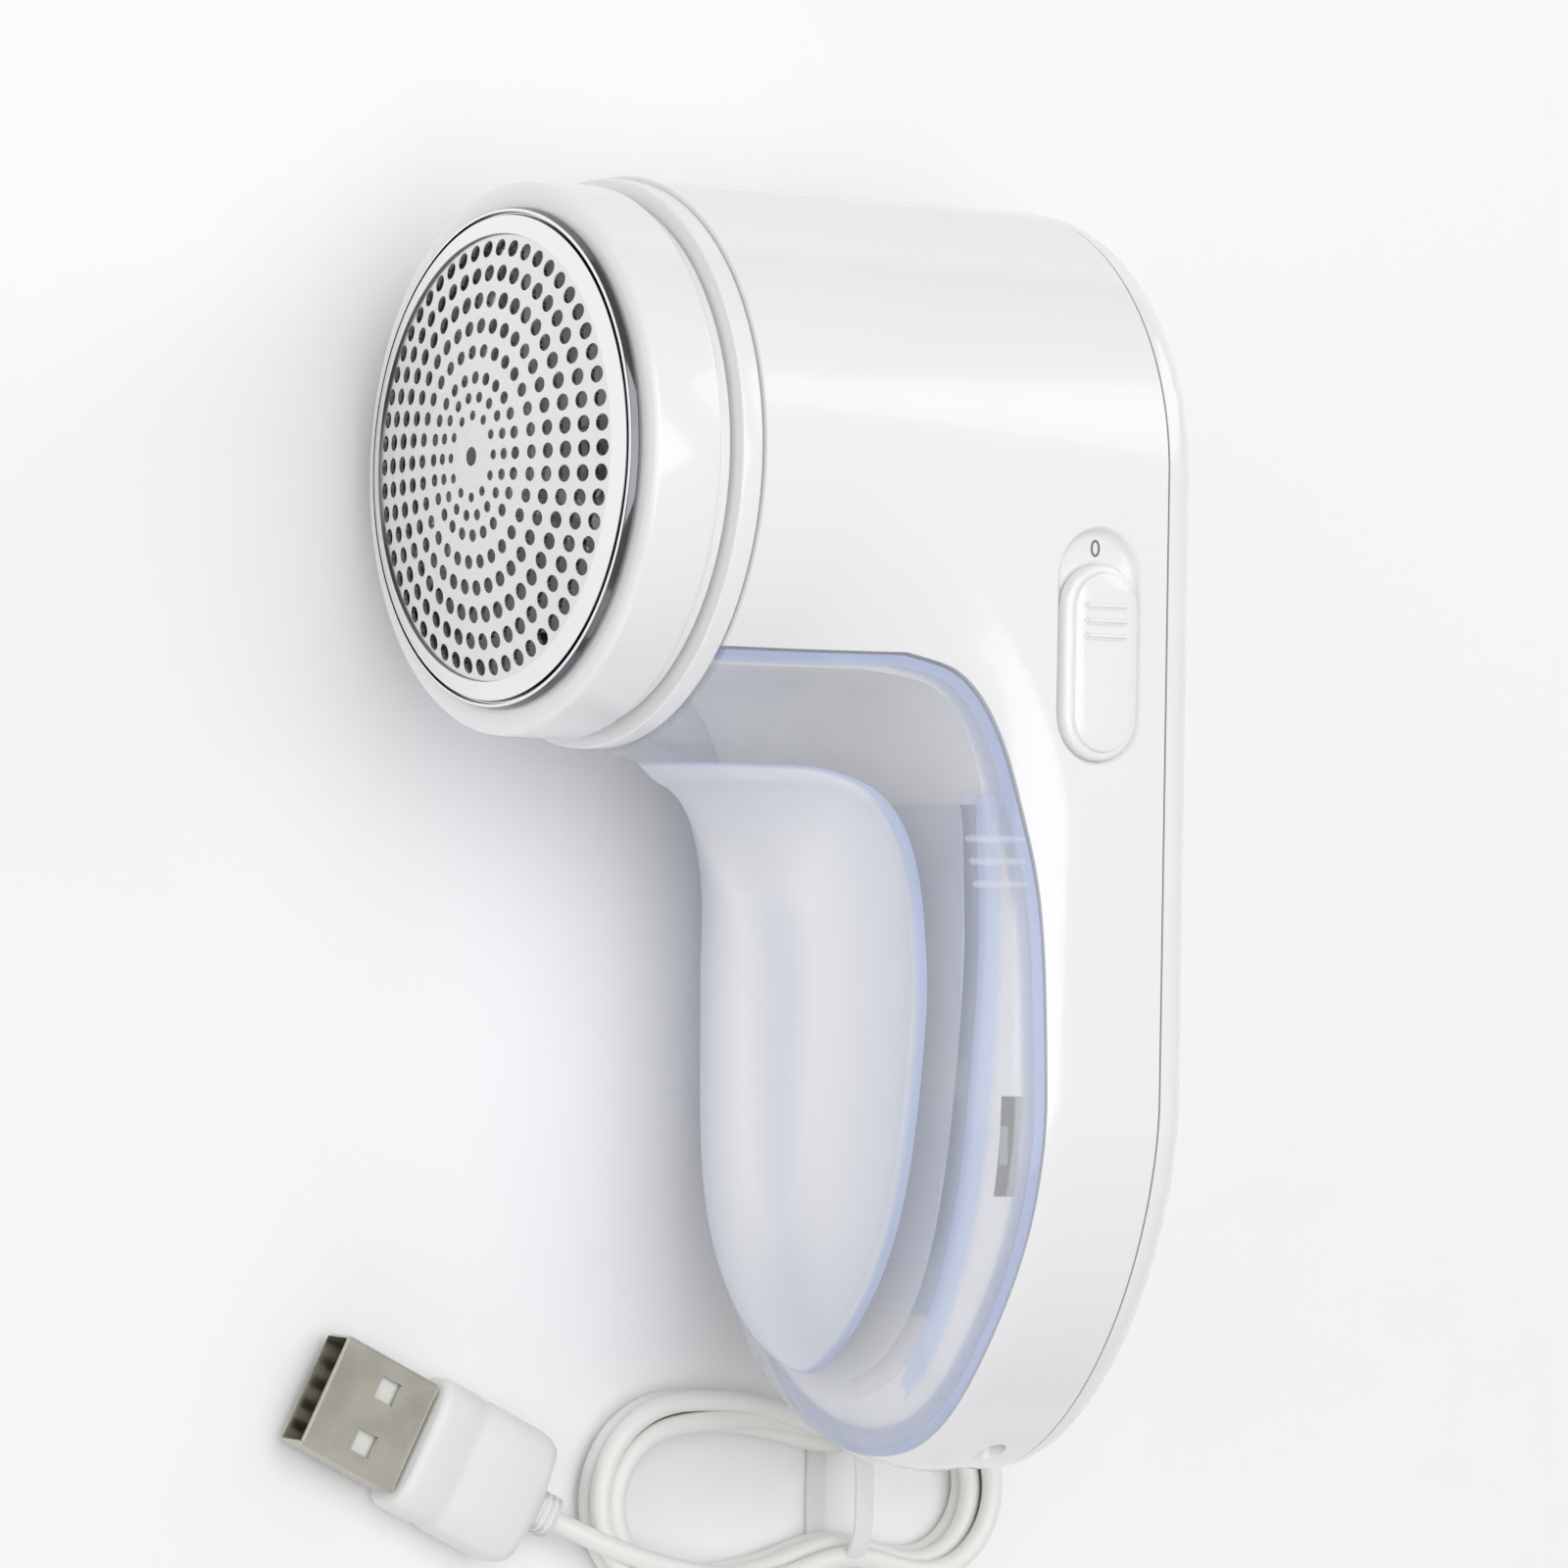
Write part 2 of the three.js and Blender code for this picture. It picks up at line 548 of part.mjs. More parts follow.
function usbGrip() {
  const start = USB.shell + GAP;
  const outline = new THREE.Shape();
  const halfHeight = USB.height / 2;
  outline.absellipse(0, 0, USB.width / 2, halfHeight, 0, 2 * Math.PI, false);
  const points = outline.getPoints(32).slice(0, -1).map((p) => {
    const square = 0.55;
    const y = Math.sign(p.x) * (USB.width / 2) * Math.abs(p.x / (USB.width / 2)) ** square;
    return new THREE.Vector2(y, Math.sign(p.y) * halfHeight * Math.abs(p.y / halfHeight) ** square);
  });
  const ring = (x, scale) => points.map((p) => [x, p.x * scale, p.y * scale]);
  const end = start + USB.grip;
  return onUsb(lofted([ring(end, 0.35), ring(end - 3, 0.9), ring(end - 5, 1), ring(start + 1, 1),
    ring(start, 0.9)]));
}

function leadHank() {
  const shape = stadium(HANK.width / 2, (HANK.length - HANK.width) / 2,
    -(HANK.length - HANK.width) / 2, 8);
  const geometry = new THREE.ExtrudeGeometry(shape, { depth: HANK.height, bevelEnabled: false });
  return geometry.rotateZ(Math.PI / 2).translate(HANK.x, HANK.y, HANK.bottom);
}

function hankTie() {
  const x = HANK.x + 5;
  const halfWidth = HANK.width / 2 + GAP;
  const top = HANK.bottom + HANK.height + GAP;
  const outer = box(x, x + 2.4, HANK.y - halfWidth - 1, HANK.y + halfWidth + 1, FLOOR, top + 1);
  const inner = box(x - 1, x + 4, HANK.y - halfWidth, HANK.y + halfWidth, FLOOR + 1, top);
  return solid(outer).subtract(solid(inner));
}

const onDc = (geometry) =>
  geometry.rotateZ(-Math.PI / 2).translate(DC.x, DC.tip, FLOOR + DC.radius);

const dcBarrel = () => onDc(rod(0, DC.barrel, 2.5, 20));

function dcGrip() {
  const start = DC.barrel + GAP;
  const shoulder = start + DC.grip;
  const { radius } = DC;
  return onDc(turned([[start, 0], [start, radius - 0.6], [start + 0.8, radius],
    [shoulder - 3, radius], [shoulder, 2.4], [shoulder + DC.relief, 1.7],
    [shoulder + DC.relief, 0]], 20));
}

function tailRoute() {
  return [[76, -79.1, 4.2], [75.9, -82, 3.6], [75.5, -85, 2.5], [75, -88, 1.8], [74.6, -91, 1.45],
    [74.6, -94.8, 1.4]].map(([x, y, z]) => [x, y, FLOOR + z]);
}

function usbRoute() {
  const length = USB.shell + GAP + USB.grip + GAP;
  const turn = THREE.MathUtils.degToRad(USB.angle);
  const x = USB.tipX + length * Math.cos(turn);
  const y = USB.tipY + length * Math.sin(turn);
  const z = FLOOR + USB.height / 2;
  const end = HANK.x - HANK.length / 2 - 0.5;
  return [[x, y, z], [x + 1.6, y - 0.6, z], [(x + end) / 2, HANK.y - 1.4, z], [end, HANK.y, z]];
}

// ---------------------------------------------------------------- the assembly

const shaver = new THREE.Group();
const lead = new THREE.Group();

function add(name, shape, material, group = shaver) {
  const geometry = shape.isBufferGeometry ? shape : geometryOf(shape);
  const mesh = new THREE.Mesh(geometry, material);
  mesh.name = name;
  group.add(mesh);
}

add('main_housing', mainHousing(), WHITE);
add('rear_cover', rearCover(), WHITE);
SCREWS.forEach(([y, z], i) => add(`cover_screw_${i + 1}`, coverScrew(y, z), STEEL));
add('lock_ring', lockRing(), WHITE);
add('guard_collar', guardCollar(), WHITE);
add('foil_bezel', foilBezel(), CHROME);
add('cutting_foil', cuttingFoil(), STEEL);
add('cutter_carrier', cutterCarrier(), INNER_PLASTIC);
for (let i = 0; i < 3; i++) {
  add(`cutter_blade_${i + 1}`, cutterBlade(i), STEEL);
}
add('cutter_spring', cutterSpring(), STEEL);
add('drive_coupling', driveCoupling(), INNER_PLASTIC);
add('motor_shaft', motorShaft(), STEEL);
add('cutter_chamber', cutterChamber(), WHITE);
add('motor_mount', motorMount(), INNER_PLASTIC);
add('motor_can', motorCan(), STEEL);
add('motor_end_cap', motorEndCap(), DARK_PLASTIC);
[3, -3].forEach((y, i) => add(`motor_terminal_${i + 1}`, motorTerminal(y), BRASS));
[15.5, -15.5].forEach((z, i) => add(`motor_screw_${i + 1}`, motorScrew(z), STEEL));
add('lint_bin', lintBin(), CLEAR);
[1, -1].forEach((side, i) => add(`bin_catch_${i + 1}`, binCatch(side), STEEL));
add('battery_cell', batteryCell(), CELL_WRAP);
[1, -1].forEach((end, i) => add(`battery_tab_${i + 1}`, batteryTab(end), STEEL));
add('circuit_board', circuitBoard(), BOARD_GREEN);
add('controller_chip', controllerChip(), DARK_PLASTIC);
add('switch_body', switchBody(), DARK_PLASTIC);
add('switch_lever', switchLever(), INNER_PLASTIC);
add('switch_knob', switchKnob(), WHITE);
add('charge_socket', chargeSocket(), DARK_PLASTIC);
add('socket_pin', socketPin(), BRASS);
add('indicator_lens', indicatorLens(), LENS);
for (const [name, material, route] of WIRES) {
  add(name, cord(route, 0.6, 3), material);
}

add('usb_shell', usbShell(), CHROME, lead);
add('usb_tongue', usbTongue(), WHITE, lead);
add('usb_grip', usbGrip(), CORD_WHITE, lead);
add('lead_usb_end', cord(usbRoute(), CORD.radius, 2), CORD_WHITE, lead);
add('lead_hank', leadHank(), CORD_WHITE, lead);
add('hank_tie', hankTie(), CORD_WHITE, lead);
add('lead_tail', cord(tailRoute()), CORD_WHITE, lead);
add('dc_plug_grip', dcGrip(), CORD_WHITE, lead);
add('dc_plug_barrel', dcBarrel(), STEEL, lead);

// The origin goes under the middle of the shaver's own box.
const box3 = new THREE.Box3().setFromObject(shaver);
const assembly = new THREE.Group();
assembly.add(shaver, lead);
assembly.position.set(-(box3.min.x + box3.max.x) / 2, -(box3.min.y + box3.max.y) / 2, -box3.min.z);

export default assembly;
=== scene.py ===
# The looks of a rechargeable fabric shaver and its charging lead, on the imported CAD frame.
# Lengths are millimetres in the frame that the part was drawn in: x from the foil to the rear cover,
# y up the handle, z out through the switch flank, from the head's centre at the collar's front face.
import json

import bmesh
import bpy
import numpy as np
from mathutils import Euler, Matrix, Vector


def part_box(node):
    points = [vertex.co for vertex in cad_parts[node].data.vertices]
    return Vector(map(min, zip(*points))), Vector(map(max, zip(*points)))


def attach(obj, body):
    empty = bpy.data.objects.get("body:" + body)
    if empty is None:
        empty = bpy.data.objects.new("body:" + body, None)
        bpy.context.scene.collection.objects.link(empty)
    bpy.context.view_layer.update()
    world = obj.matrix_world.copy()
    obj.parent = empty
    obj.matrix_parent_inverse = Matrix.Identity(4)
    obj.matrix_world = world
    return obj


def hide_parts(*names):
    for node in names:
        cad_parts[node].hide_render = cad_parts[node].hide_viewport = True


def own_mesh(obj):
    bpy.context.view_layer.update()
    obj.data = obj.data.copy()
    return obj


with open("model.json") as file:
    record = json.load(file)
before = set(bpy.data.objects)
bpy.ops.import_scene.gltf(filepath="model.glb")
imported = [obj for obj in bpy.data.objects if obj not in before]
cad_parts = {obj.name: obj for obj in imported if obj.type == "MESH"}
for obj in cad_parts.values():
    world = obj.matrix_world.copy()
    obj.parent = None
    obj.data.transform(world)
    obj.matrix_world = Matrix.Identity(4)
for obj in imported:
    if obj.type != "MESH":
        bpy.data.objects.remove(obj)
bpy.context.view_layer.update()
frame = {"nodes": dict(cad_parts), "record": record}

# ---------------------------------------------------------------- sizes

MM = 0.001
collar_low, collar_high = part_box("guard_collar")
ORIGIN = np.array([
    collar_low.x,
    (collar_low.y + collar_high.y) / 2,
    (collar_low.z + collar_high.z) / 2,
])


def extent(node):
    """A CAD node's lowest and highest corner in millimetres from the head's centre."""
    return [(np.array(corner) - ORIGIN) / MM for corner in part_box(node)]


R = 28.5  # the barrel's radius, and half the handle's width
WALL = 2.0
BIN_WALL = 1.8
BIN_BACK = 1.2  # the bin's flat rear wall
GAP = 0.3  # between pieces that touch
FLOOR = -R
SEAM = extent("main_housing")[1][0]  # where the housing ends and the rear cover starts
REAR = extent("rear_cover")[1][0]
FRONT = extent("main_housing")[0][0]

HANDLE = {"centre": 48.3, "nose": 15.0, "top": -14.0, "low": -62.0, "reach": 38.8, "sweep": 5.0}
GRID = 1.1  # cell of the moulded skins

RIM = [[31, -18.4], [36.3, -20.2], [40.2, -24.8], [43, -32], [45.2, -43], [46, -58], [46, -74],
       [45.2, -88], [44.7, -104]]
TONGUE = [[29, -20], [35.2, -21.4], [38.9, -25.2], [41.4, -32.4], [42, -42], [41.9, -52],
          [41.2, -70], [41, -88], [41.2, -104]]
PAD = [[0, -29.2], [9, -29.3], [15, -30], [18, -33.8], [19.2, -44], [19.6, -54], [18, -69.5],
       [14.3, -79.6], [8, -86.8]]
PAD_LOW = [0, -90.4]
# The pad's darker band down the nose is painted shade, where the nose faces away from the light.
NOSE_PAINTED_SHADE = 1.5  # the z that the pad's darker band runs down
RIB_LINES = [-36.4, -38.6, -40.8]
WINDOW = {"x0": 43.3, "x1": 45.4, "bottom": -71.5, "top": -61.6, "inner": 19, "outer": 27}
SOCKET = {"x": 54.4, "radius": 3.4, "top": -94, "lens_z": 8, "lens_radius": 1.6, "lens_top": -91.6}

SWITCH = {"x": 51.3, "top": -5.6, "bottom": -28.8, "width": 9.9, "depth": 1.0, "travel": 3.2}
SCREWS = [[17, 17], [17, -17], [-85, 15], [-85, -15]]
HOLE_RINGS = [4.0, 5.8, 7.7, 10.3, 12.8, 15.4, 18, 20.5]  # round the hole at the foil's centre
FOIL_RISE = 2.5
RING_STEP = 9.2  # where the lock ring steps up to its full radius
SPRING = {"turns": 3, "coil": 3.4, "wire": 0.3, "front": 6.9, "rear": 10.1, "travel": 1.0}
CORD = {"radius": 1.1, "turns": 5, "fold": 8.1, "pitch": 2.2}
USB = {"tip": (-5.6, -92.4), "angle": -27, "shell": 12, "grip": 19, "width": 14.5, "height": 7.5}
DC = {"x": 76, "tip": -48, "barrel": 9.5, "grip": 13, "relief": 8, "radius": 4.2}
HANK_X, HANK_Y = 53, -105.5
TIE_X = 5  # how far to the right of the hank's middle it is tied

# ---------------------------------------------------------------- camera, light and floor


def place(point):
    return Vector(ORIGIN + np.array(point) * MM)


def add_camera():
    data = bpy.data.cameras.new("camera")
    data.lens = 141.9
    camera = bpy.data.objects.new("camera", data)
    bpy.context.collection.objects.link(camera)
    camera.location = place((-313.3, -42.0, 516.7))
    yaw, pitch, roll = np.radians([-33.85, 1.01, 0.96])
    camera.rotation_mode = "ZXY"
    camera.rotation_euler = Euler((pitch, yaw, roll), "ZXY")
    data.clip_start, data.clip_end = 0.05, 20
    bpy.context.scene.camera = camera


def add_softbox(name, at, towards, size, power):
    data = bpy.data.lights.new(name, "AREA")
    data.shape = "RECTANGLE"
    data.size, data.size_y = size
    data.energy = power
    lamp = bpy.data.objects.new(name, data)
    bpy.context.collection.objects.link(lamp)
    lamp.location = place(at)
    lamp.rotation_mode = "QUATERNION"
    lamp.rotation_quaternion = (place(towards) - lamp.location).to_track_quat("-Z", "Y")


def add_studio():
    world = bpy.data.worlds.new("studio")
    world.use_nodes = True
    background = world.node_tree.nodes["Background"]
    background.inputs["Color"].default_value = (0.98, 0.985, 1, 1)
    background.inputs["Strength"].default_value = 0.4
    bpy.context.scene.world = world
    bpy.context.scene.view_settings.view_transform = "Standard"
    add_softbox("overhead", (-60, 60, 900), (30, -40, 0), (0.9, 0.9), 5.2)
    add_softbox("front", (-800, 150, 330), (20, -20, 0), (0.6, 0.9), 1.7)
    add_softbox("rear", (700, 350, 420), (30, -40, 0), (0.35, 0.7), 1.2)
    add_softbox("low", (-150, -800, 300), (20, -60, 0), (0.9, 0.4), 0.8)


def add_floor():
    mesh = bpy.data.meshes.new("floor")
    side = 3.0
    corners = [(-side, -side, 0), (side, -side, 0), (side, side, 0), (-side, side, 0)]
    mesh.from_pydata(corners, [], [(0, 1, 2, 3)])
    floor = bpy.data.objects.new("floor", mesh)
    floor.location.z = place((0, 0, FLOOR)).z
    bpy.context.collection.objects.link(floor)
    floor.data.materials.append(finish("floor_paper", (0.93, 0.93, 0.935), 0.7, drift=0.004))


# ---------------------------------------------------------------- materials


def graph(name):
    material = bpy.data.materials.new(name)
    material.use_nodes = True
    tree = material.node_tree
    return material, tree, tree.nodes["Principled BSDF"]


def noise(tree, scale, detail=2.0):
    where = tree.nodes.new("ShaderNodeTexCoord")
    node = tree.nodes.new("ShaderNodeTexNoise")
    node.inputs["Scale"].default_value = scale
    node.inputs["Detail"].default_value = detail
    tree.links.new(where.outputs["Object"], node.inputs["Vector"])
    return node.outputs["Fac"]


def ranged(tree, value, low, high, start=0.3, end=0.7):
    node = tree.nodes.new("ShaderNodeMapRange")
    for socket, number in zip(("From Min", "From Max", "To Min", "To Max"), (start, end, low, high)):
        node.inputs[socket].default_value = number
    tree.links.new(value, node.inputs["Value"])
    return node.outputs["Result"]


def blended(tree, share, first, second):
    """A colour between two, each an RGB triple or a socket, by a share that is a socket."""
    node = tree.nodes.new("ShaderNodeMix")
    node.data_type = "RGBA"
    tree.links.new(share, node.inputs["Factor"])
    for socket, colour in (("A", first), ("B", second)):
        target = next(i for i in node.inputs if i.name == socket and i.type == "RGBA")
        if isinstance(colour, bpy.types.NodeSocket):
            tree.links.new(colour, target)
        else:
            target.default_value = (*colour, 1)
    return next(o for o in node.outputs if o.type == "RGBA")


def stored(tree, name):
    node = tree.nodes.new("ShaderNodeAttribute")
    node.attribute_name = name
    return node.outputs["Fac"]


def arithmetic(tree, operation, first, second):
    node = tree.nodes.new("ShaderNodeMath")
    node.operation = operation
    for i, value in enumerate((first, second)):
        if isinstance(value, bpy.types.NodeSocket):
            tree.links.new(value, node.inputs[i])
        else:
            node.inputs[i].default_value = value
    return node.outputs["Value"]


def roughen(tree, shader, scale, depth):
    bump = tree.nodes.new("ShaderNodeBump")
    bump.inputs["Strength"].default_value = 1
    bump.inputs["Distance"].default_value = depth * MM
    tree.links.new(noise(tree, scale, 3), bump.inputs["Height"])
    tree.links.new(bump.outputs["Normal"], shader.inputs["Normal"])


def finish(name, colour, roughness, metallic=0.0, drift=0.03, grain=1500, depth=0.004, **sockets):
    """A moulded or drawn finish: slow colour drift, patchy roughness and a fine grain."""
    material, tree, shader = graph(name)
    dark = tuple(c * (1 - drift) for c in colour)
    light = tuple(min(1, c * (1 + drift)) for c in colour)
    tree.links.new(blended(tree, noise(tree, 55, 3), dark, light), shader.inputs["Base Color"])
    spread = max(0.02, roughness * 0.2)
    patchy = ranged(tree, noise(tree, 160, 3), roughness - spread, roughness + spread)
    tree.links.new(patchy, shader.inputs["Roughness"])
    shader.inputs["Metallic"].default_value = metallic
    roughen(tree, shader, grain, depth)
    for socket, value in sockets.items():
        shader.inputs[socket.replace("_", " ")].default_value = value
    return material


def spun_steel(name, colour, roughness):
    """Steel with the fine rings that pressing and turning about the head's axis leave."""
    material, tree, shader = graph(name)
    where = tree.nodes.new("ShaderNodeTexCoord")
    shift = tree.nodes.new("ShaderNodeVectorMath")
    shift.operation = "SUBTRACT"
    shift.inputs[1].default_value = tuple(ORIGIN)
    flat = tree.nodes.new("ShaderNodeVectorMath")
    flat.operation = "MULTIPLY"
    flat.inputs[1].default_value = (0, 1, 1)
    radius = tree.nodes.new("ShaderNodeVectorMath")
    radius.operation = "LENGTH"
    rings = tree.nodes.new("ShaderNodeTexNoise")
    rings.noise_dimensions = "1D"
    rings.inputs["Scale"].default_value = 4000
    tree.links.new(where.outputs["Object"], shift.inputs[0])
    tree.links.new(shift.outputs["Vector"], flat.inputs[0])
    tree.links.new(flat.outputs["Vector"], radius.inputs[0])
    tree.links.new(radius.outputs["Value"], rings.inputs["W"])
    dark = tuple(c * 0.93 for c in colour)
    tint = blended(tree, rings.outputs["Fac"], dark, colour)
    tree.links.new(tint, shader.inputs["Base Color"])
    rough = ranged(tree, rings.outputs["Fac"], roughness * 0.8, roughness * 1.25)
    tree.links.new(rough, shader.inputs["Roughness"])
    shader.inputs["Metallic"].default_value = 1
    bump = tree.nodes.new("ShaderNodeBump")
    bump.inputs["Strength"].default_value = 0.15
    bump.inputs["Distance"].default_value = 0.01 * MM
    tree.links.new(rings.outputs["Fac"], bump.inputs["Height"])
    tree.links.new(bump.outputs["Normal"], shader.inputs["Normal"])
    return material


CLEAR_TINT = (0.93, 0.945, 0.985)
EDGE_TINT = (0.56, 0.63, 0.84)


def clear_plastic():
    """The bin's milky, see-through plastic: denser at glancing angles, and bluer and denser in the
    band along its rim and its rear wall's edges, whose distance "rim" stores in millimetres."""
    material, tree, shader = graph("clear_plastic")
    glance = tree.nodes.new("ShaderNodeLayerWeight")
    glance.inputs["Blend"].default_value = 0.35
    across = ranged(tree, glance.outputs["Facing"], 0, 1, 0.1, 1)
    band = ranged(tree, stored(tree, "rim"), 1, 0, 0.8, 1.25)
    edge = arithmetic(tree, "MAXIMUM", arithmetic(tree, "MULTIPLY", across, 0.4), band)
    tint = blended(tree, edge, CLEAR_TINT, EDGE_TINT)
    tree.links.new(tint, shader.inputs["Base Color"])
    body = ranged(tree, across, 0.23, 0.45, 0, 1)
    rim = arithmetic(tree, "MULTIPLY", band, 0.62)
    haze = ranged(tree, noise(tree, 90, 3), -0.012, 0.012)
    dense = arithmetic(tree, "ADD", arithmetic(tree, "MAXIMUM", body, rim), haze)
    tree.links.new(dense, shader.inputs["Alpha"])
    patchy = ranged(tree, noise(tree, 160, 3), 0.03, 0.09)
    tree.links.new(patchy, shader.inputs["Roughness"])
    roughen(tree, shader, 300, 0.01)
    return material


def frosted_plastic():
    """The grip pad: the same plastic with a fine matt texture. It is bluer towards its edge, which
    "inset" stores as millimetres in from the outline, and a painted shade darkens it along the nose, by
    the amount that "nose" stores."""
    material, tree, shader = graph("frosted_plastic")
    middle = ranged(tree, stored(tree, "inset"), 0, 1, 0.5, 13)
    tint = blended(tree, middle, (0.82, 0.85, 0.93), (0.98, 0.982, 0.985))
    # Painted shade: a darker grey-blue down the nose, where it faces away from the light.
    tint = blended(tree, stored(tree, "nose"), tint, (0.74, 0.765, 0.84))
    ridge = ranged(tree, stored(tree, "inset"), 1, 0, 0.15, 0.45)
    tree.links.new(blended(tree, ridge, tint, EDGE_TINT), shader.inputs["Base Color"])
    dense = ranged(tree, middle, 0.7, 0.93, 0, 1)
    tree.links.new(dense, shader.inputs["Alpha"])
    rough = ranged(tree, noise(tree, 700, 2), 0.34, 0.46)
    tree.links.new(rough, shader.inputs["Roughness"])
    roughen(tree, shader, 2600, 0.02)
    return material


def make_materials():
    white = (0.86, 0.86, 0.865)
    return {
        "white_gloss": finish("gloss_white", white, 0.17, drift=0.008, grain=400, depth=0.003,
                              Coat_Weight=0.3, Coat_Roughness=0.06),
        "white_inner": finish("matt_white", (0.78, 0.78, 0.76), 0.45, depth=0.02),
        "bin_clear": clear_plastic(),
        "pad": frosted_plastic(),
        "chrome_bezel": finish("chrome", (0.90, 0.90, 0.91), 0.07, 1, drift=0.01, depth=0.001),
        # Darker chrome for the bezel's side and groove: painted shade and painted dark reflection.
        "chrome_painted_shade": finish("chrome_painted_shade", (0.16, 0.16, 0.17), 0.1, 1, drift=0.3, depth=0.001),
        "foil_steel": spun_steel("pressed_steel", (0.83, 0.83, 0.84), 0.24),
        "steel": finish("steel", (0.55, 0.56, 0.58), 0.28, 1, grain=3000),
        "brass": finish("brass", (0.70, 0.52, 0.24), 0.3, 1),
        "dark_plastic": finish("dark_plastic", (0.035, 0.037, 0.042), 0.5, drift=0.2, depth=0.02),
        "board_green": finish("board", (0.04, 0.17, 0.08), 0.45, drift=0.25, grain=700, depth=0.03),
        "cell_wrap": finish("cell_wrap", (0.07, 0.22, 0.48), 0.3, drift=0.08, grain=200, depth=0.03),
        "lens": finish("lens", (0.80, 0.84, 0.81), 0.12, Coat_Weight=0.4),
        "cord_white": finish("cord_white", (0.84, 0.83, 0.80), 0.4, drift=0.02, grain=900,
                             depth=0.02),
        "grip_white": finish("grip_white", (0.80, 0.80, 0.79), 0.38, drift=0.02, grain=1200,
                             depth=0.02),
        "plug_steel": finish("plug_steel", (0.60, 0.58, 0.50), 0.27, 1, grain=2500),
        "wire_red": finish("wire_red", (0.48, 0.03, 0.02), 0.42, drift=0.1),
        "wire_black": finish("wire_black", (0.02, 0.02, 0.02), 0.42, drift=0.2),
        "print_grey": finish("print_grey", (0.16, 0.16, 0.17), 0.4, drift=0.05),
        "shadow_grey": finish("shadow_grey", (0.20, 0.21, 0.23), 0.6, drift=0.1),
    }


# ---------------------------------------------------------------- mesh helpers


def new_object(name, points, faces, smooth_angle=32):
    """A mesh object from points in millimetres, with its outside facing out."""
    mesh = bpy.data.meshes.new(name)
    shape = bmesh.new()
    corners = [shape.verts.new(place(p)) for p in points]
    for face in faces:
        shape.faces.new([corners[i] for i in face])
    bmesh.ops.remove_doubles(shape, verts=shape.verts, dist=1e-7)
    bmesh.ops.recalc_face_normals(shape, faces=shape.faces)
    shape.to_mesh(mesh)
    shape.free()
    mesh.shade_smooth()
    mesh.set_sharp_from_angle(angle=np.radians(smooth_angle))
    made = bpy.data.objects.new(name, mesh)
    bpy.context.collection.objects.link(made)
    return made


def combine(target, operation, *others):
    """Joins, cuts or intersects a closed mesh with others, which are used up."""
    for other in others:
        step = target.modifiers.new("step", "BOOLEAN")
        step.object, step.operation, step.solver = other, operation, "MANIFOLD"
        seen = target.evaluated_get(bpy.context.evaluated_depsgraph_get())
        target.data = bpy.data.meshes.new_from_object(seen)
        target.modifiers.clear()
        bpy.data.objects.remove(other)
    return target


def merged(name, parts):
    """Separate closed meshes put into one object."""
    joined = bmesh.new()
    for part in parts:
        joined.from_mesh(part.data)
        bpy.data.objects.remove(part)
    mesh = bpy.data.meshes.new(name)
    joined.to_mesh(mesh)
    joined.free()
    made = bpy.data.objects.new(name, mesh)
    bpy.context.collection.objects.link(made)
    return made


def loft(name, rings, closed=False, smooth_angle=32):
    """Rings of equally many points joined up, capped at both ends or closed on themselves."""
    count, total = len(rings[0]), len(rings)
    faces = []
    for i in range(total if closed else total - 1):
        for j in range(count):
            k, m = (j + 1) % count, (i + 1) % total
            faces.append((i * count + j, i * count + k, m * count + k, m * count + j))
    if not closed:
        faces.append(tuple(range(count)))
        faces.append(tuple((total - 1) * count + j for j in range(count)))
    return new_object(name, [p for ring in rings for p in ring], faces, smooth_angle)


def rounded(outline, radius, steps=4):
    """A closed outline of 2D points with each corner turned into an arc-like curve."""
    outline = [np.array(p, float) for p in outline]
    done = []
    for i, corner in enumerate(outline):
        before, after = outline[i - 1], outline[(i + 1) % len(outline)]
        if corner[1] == 0:  # on the axis of a turned piece
            done.append(corner)
            continue
        reach = [min(radius, np.linalg.norm(p - corner) * 0.45) for p in (before, after)]
        start = corner + (before - corner) / np.linalg.norm(before - corner) * reach[0]
        end = corner + (after - corner) / np.linalg.norm(after - corner) * reach[1]
        for t in np.linspace(0, 1, steps + 1):
            done.append((1 - t) ** 2 * start + 2 * t * (1 - t) * corner + t**2 * end)
    return done


def turned(name, outline, radius=0.25, sides=160, turn=None):
    """A piece turned about the x axis from an outline of [x, radius] points. turn maps its points."""
    profile = rounded(outline, radius) if radius else [np.array(p, float) for p in outline]
    angles = np.linspace(0, 2 * np.pi, sides, endpoint=False)
    on_axis = outline[0][1] == 0
    rings = [[(x, r * np.cos(a), r * np.sin(a)) for a in angles] for x, r in profile]
    if turn is not None:
        rings = [[turn(p) for p in ring] for ring in rings]
    if not on_axis:
        return loft(name, rings, closed=True)
    if profile[0][1] == 0:
        rings[0] = [rings[0][0]] * sides
    return cone_capped(name, rings)


def cone_capped(name, rings):
    """A loft whose first and last rings are single points on the axis."""
    count, total = len(rings[0]), len(rings)
    points = [rings[0][0]] + [p for ring in rings[1:-1] for p in ring] + [rings[-1][0]]
    faces = [(0, 1 + j, 1 + (j + 1) % count) for j in range(count)]
    for i in range(total - 3):
        for j in range(count):
            a, b = 1 + i * count, 1 + (i + 1) * count
            k = (j + 1) % count
            faces.append((a + j, a + k, b + k, b + j))
    last, base = len(points) - 1, 1 + (total - 3) * count
    faces += [(last, base + (j + 1) % count, base + j) for j in range(count)]
    return new_object(name, points, faces)


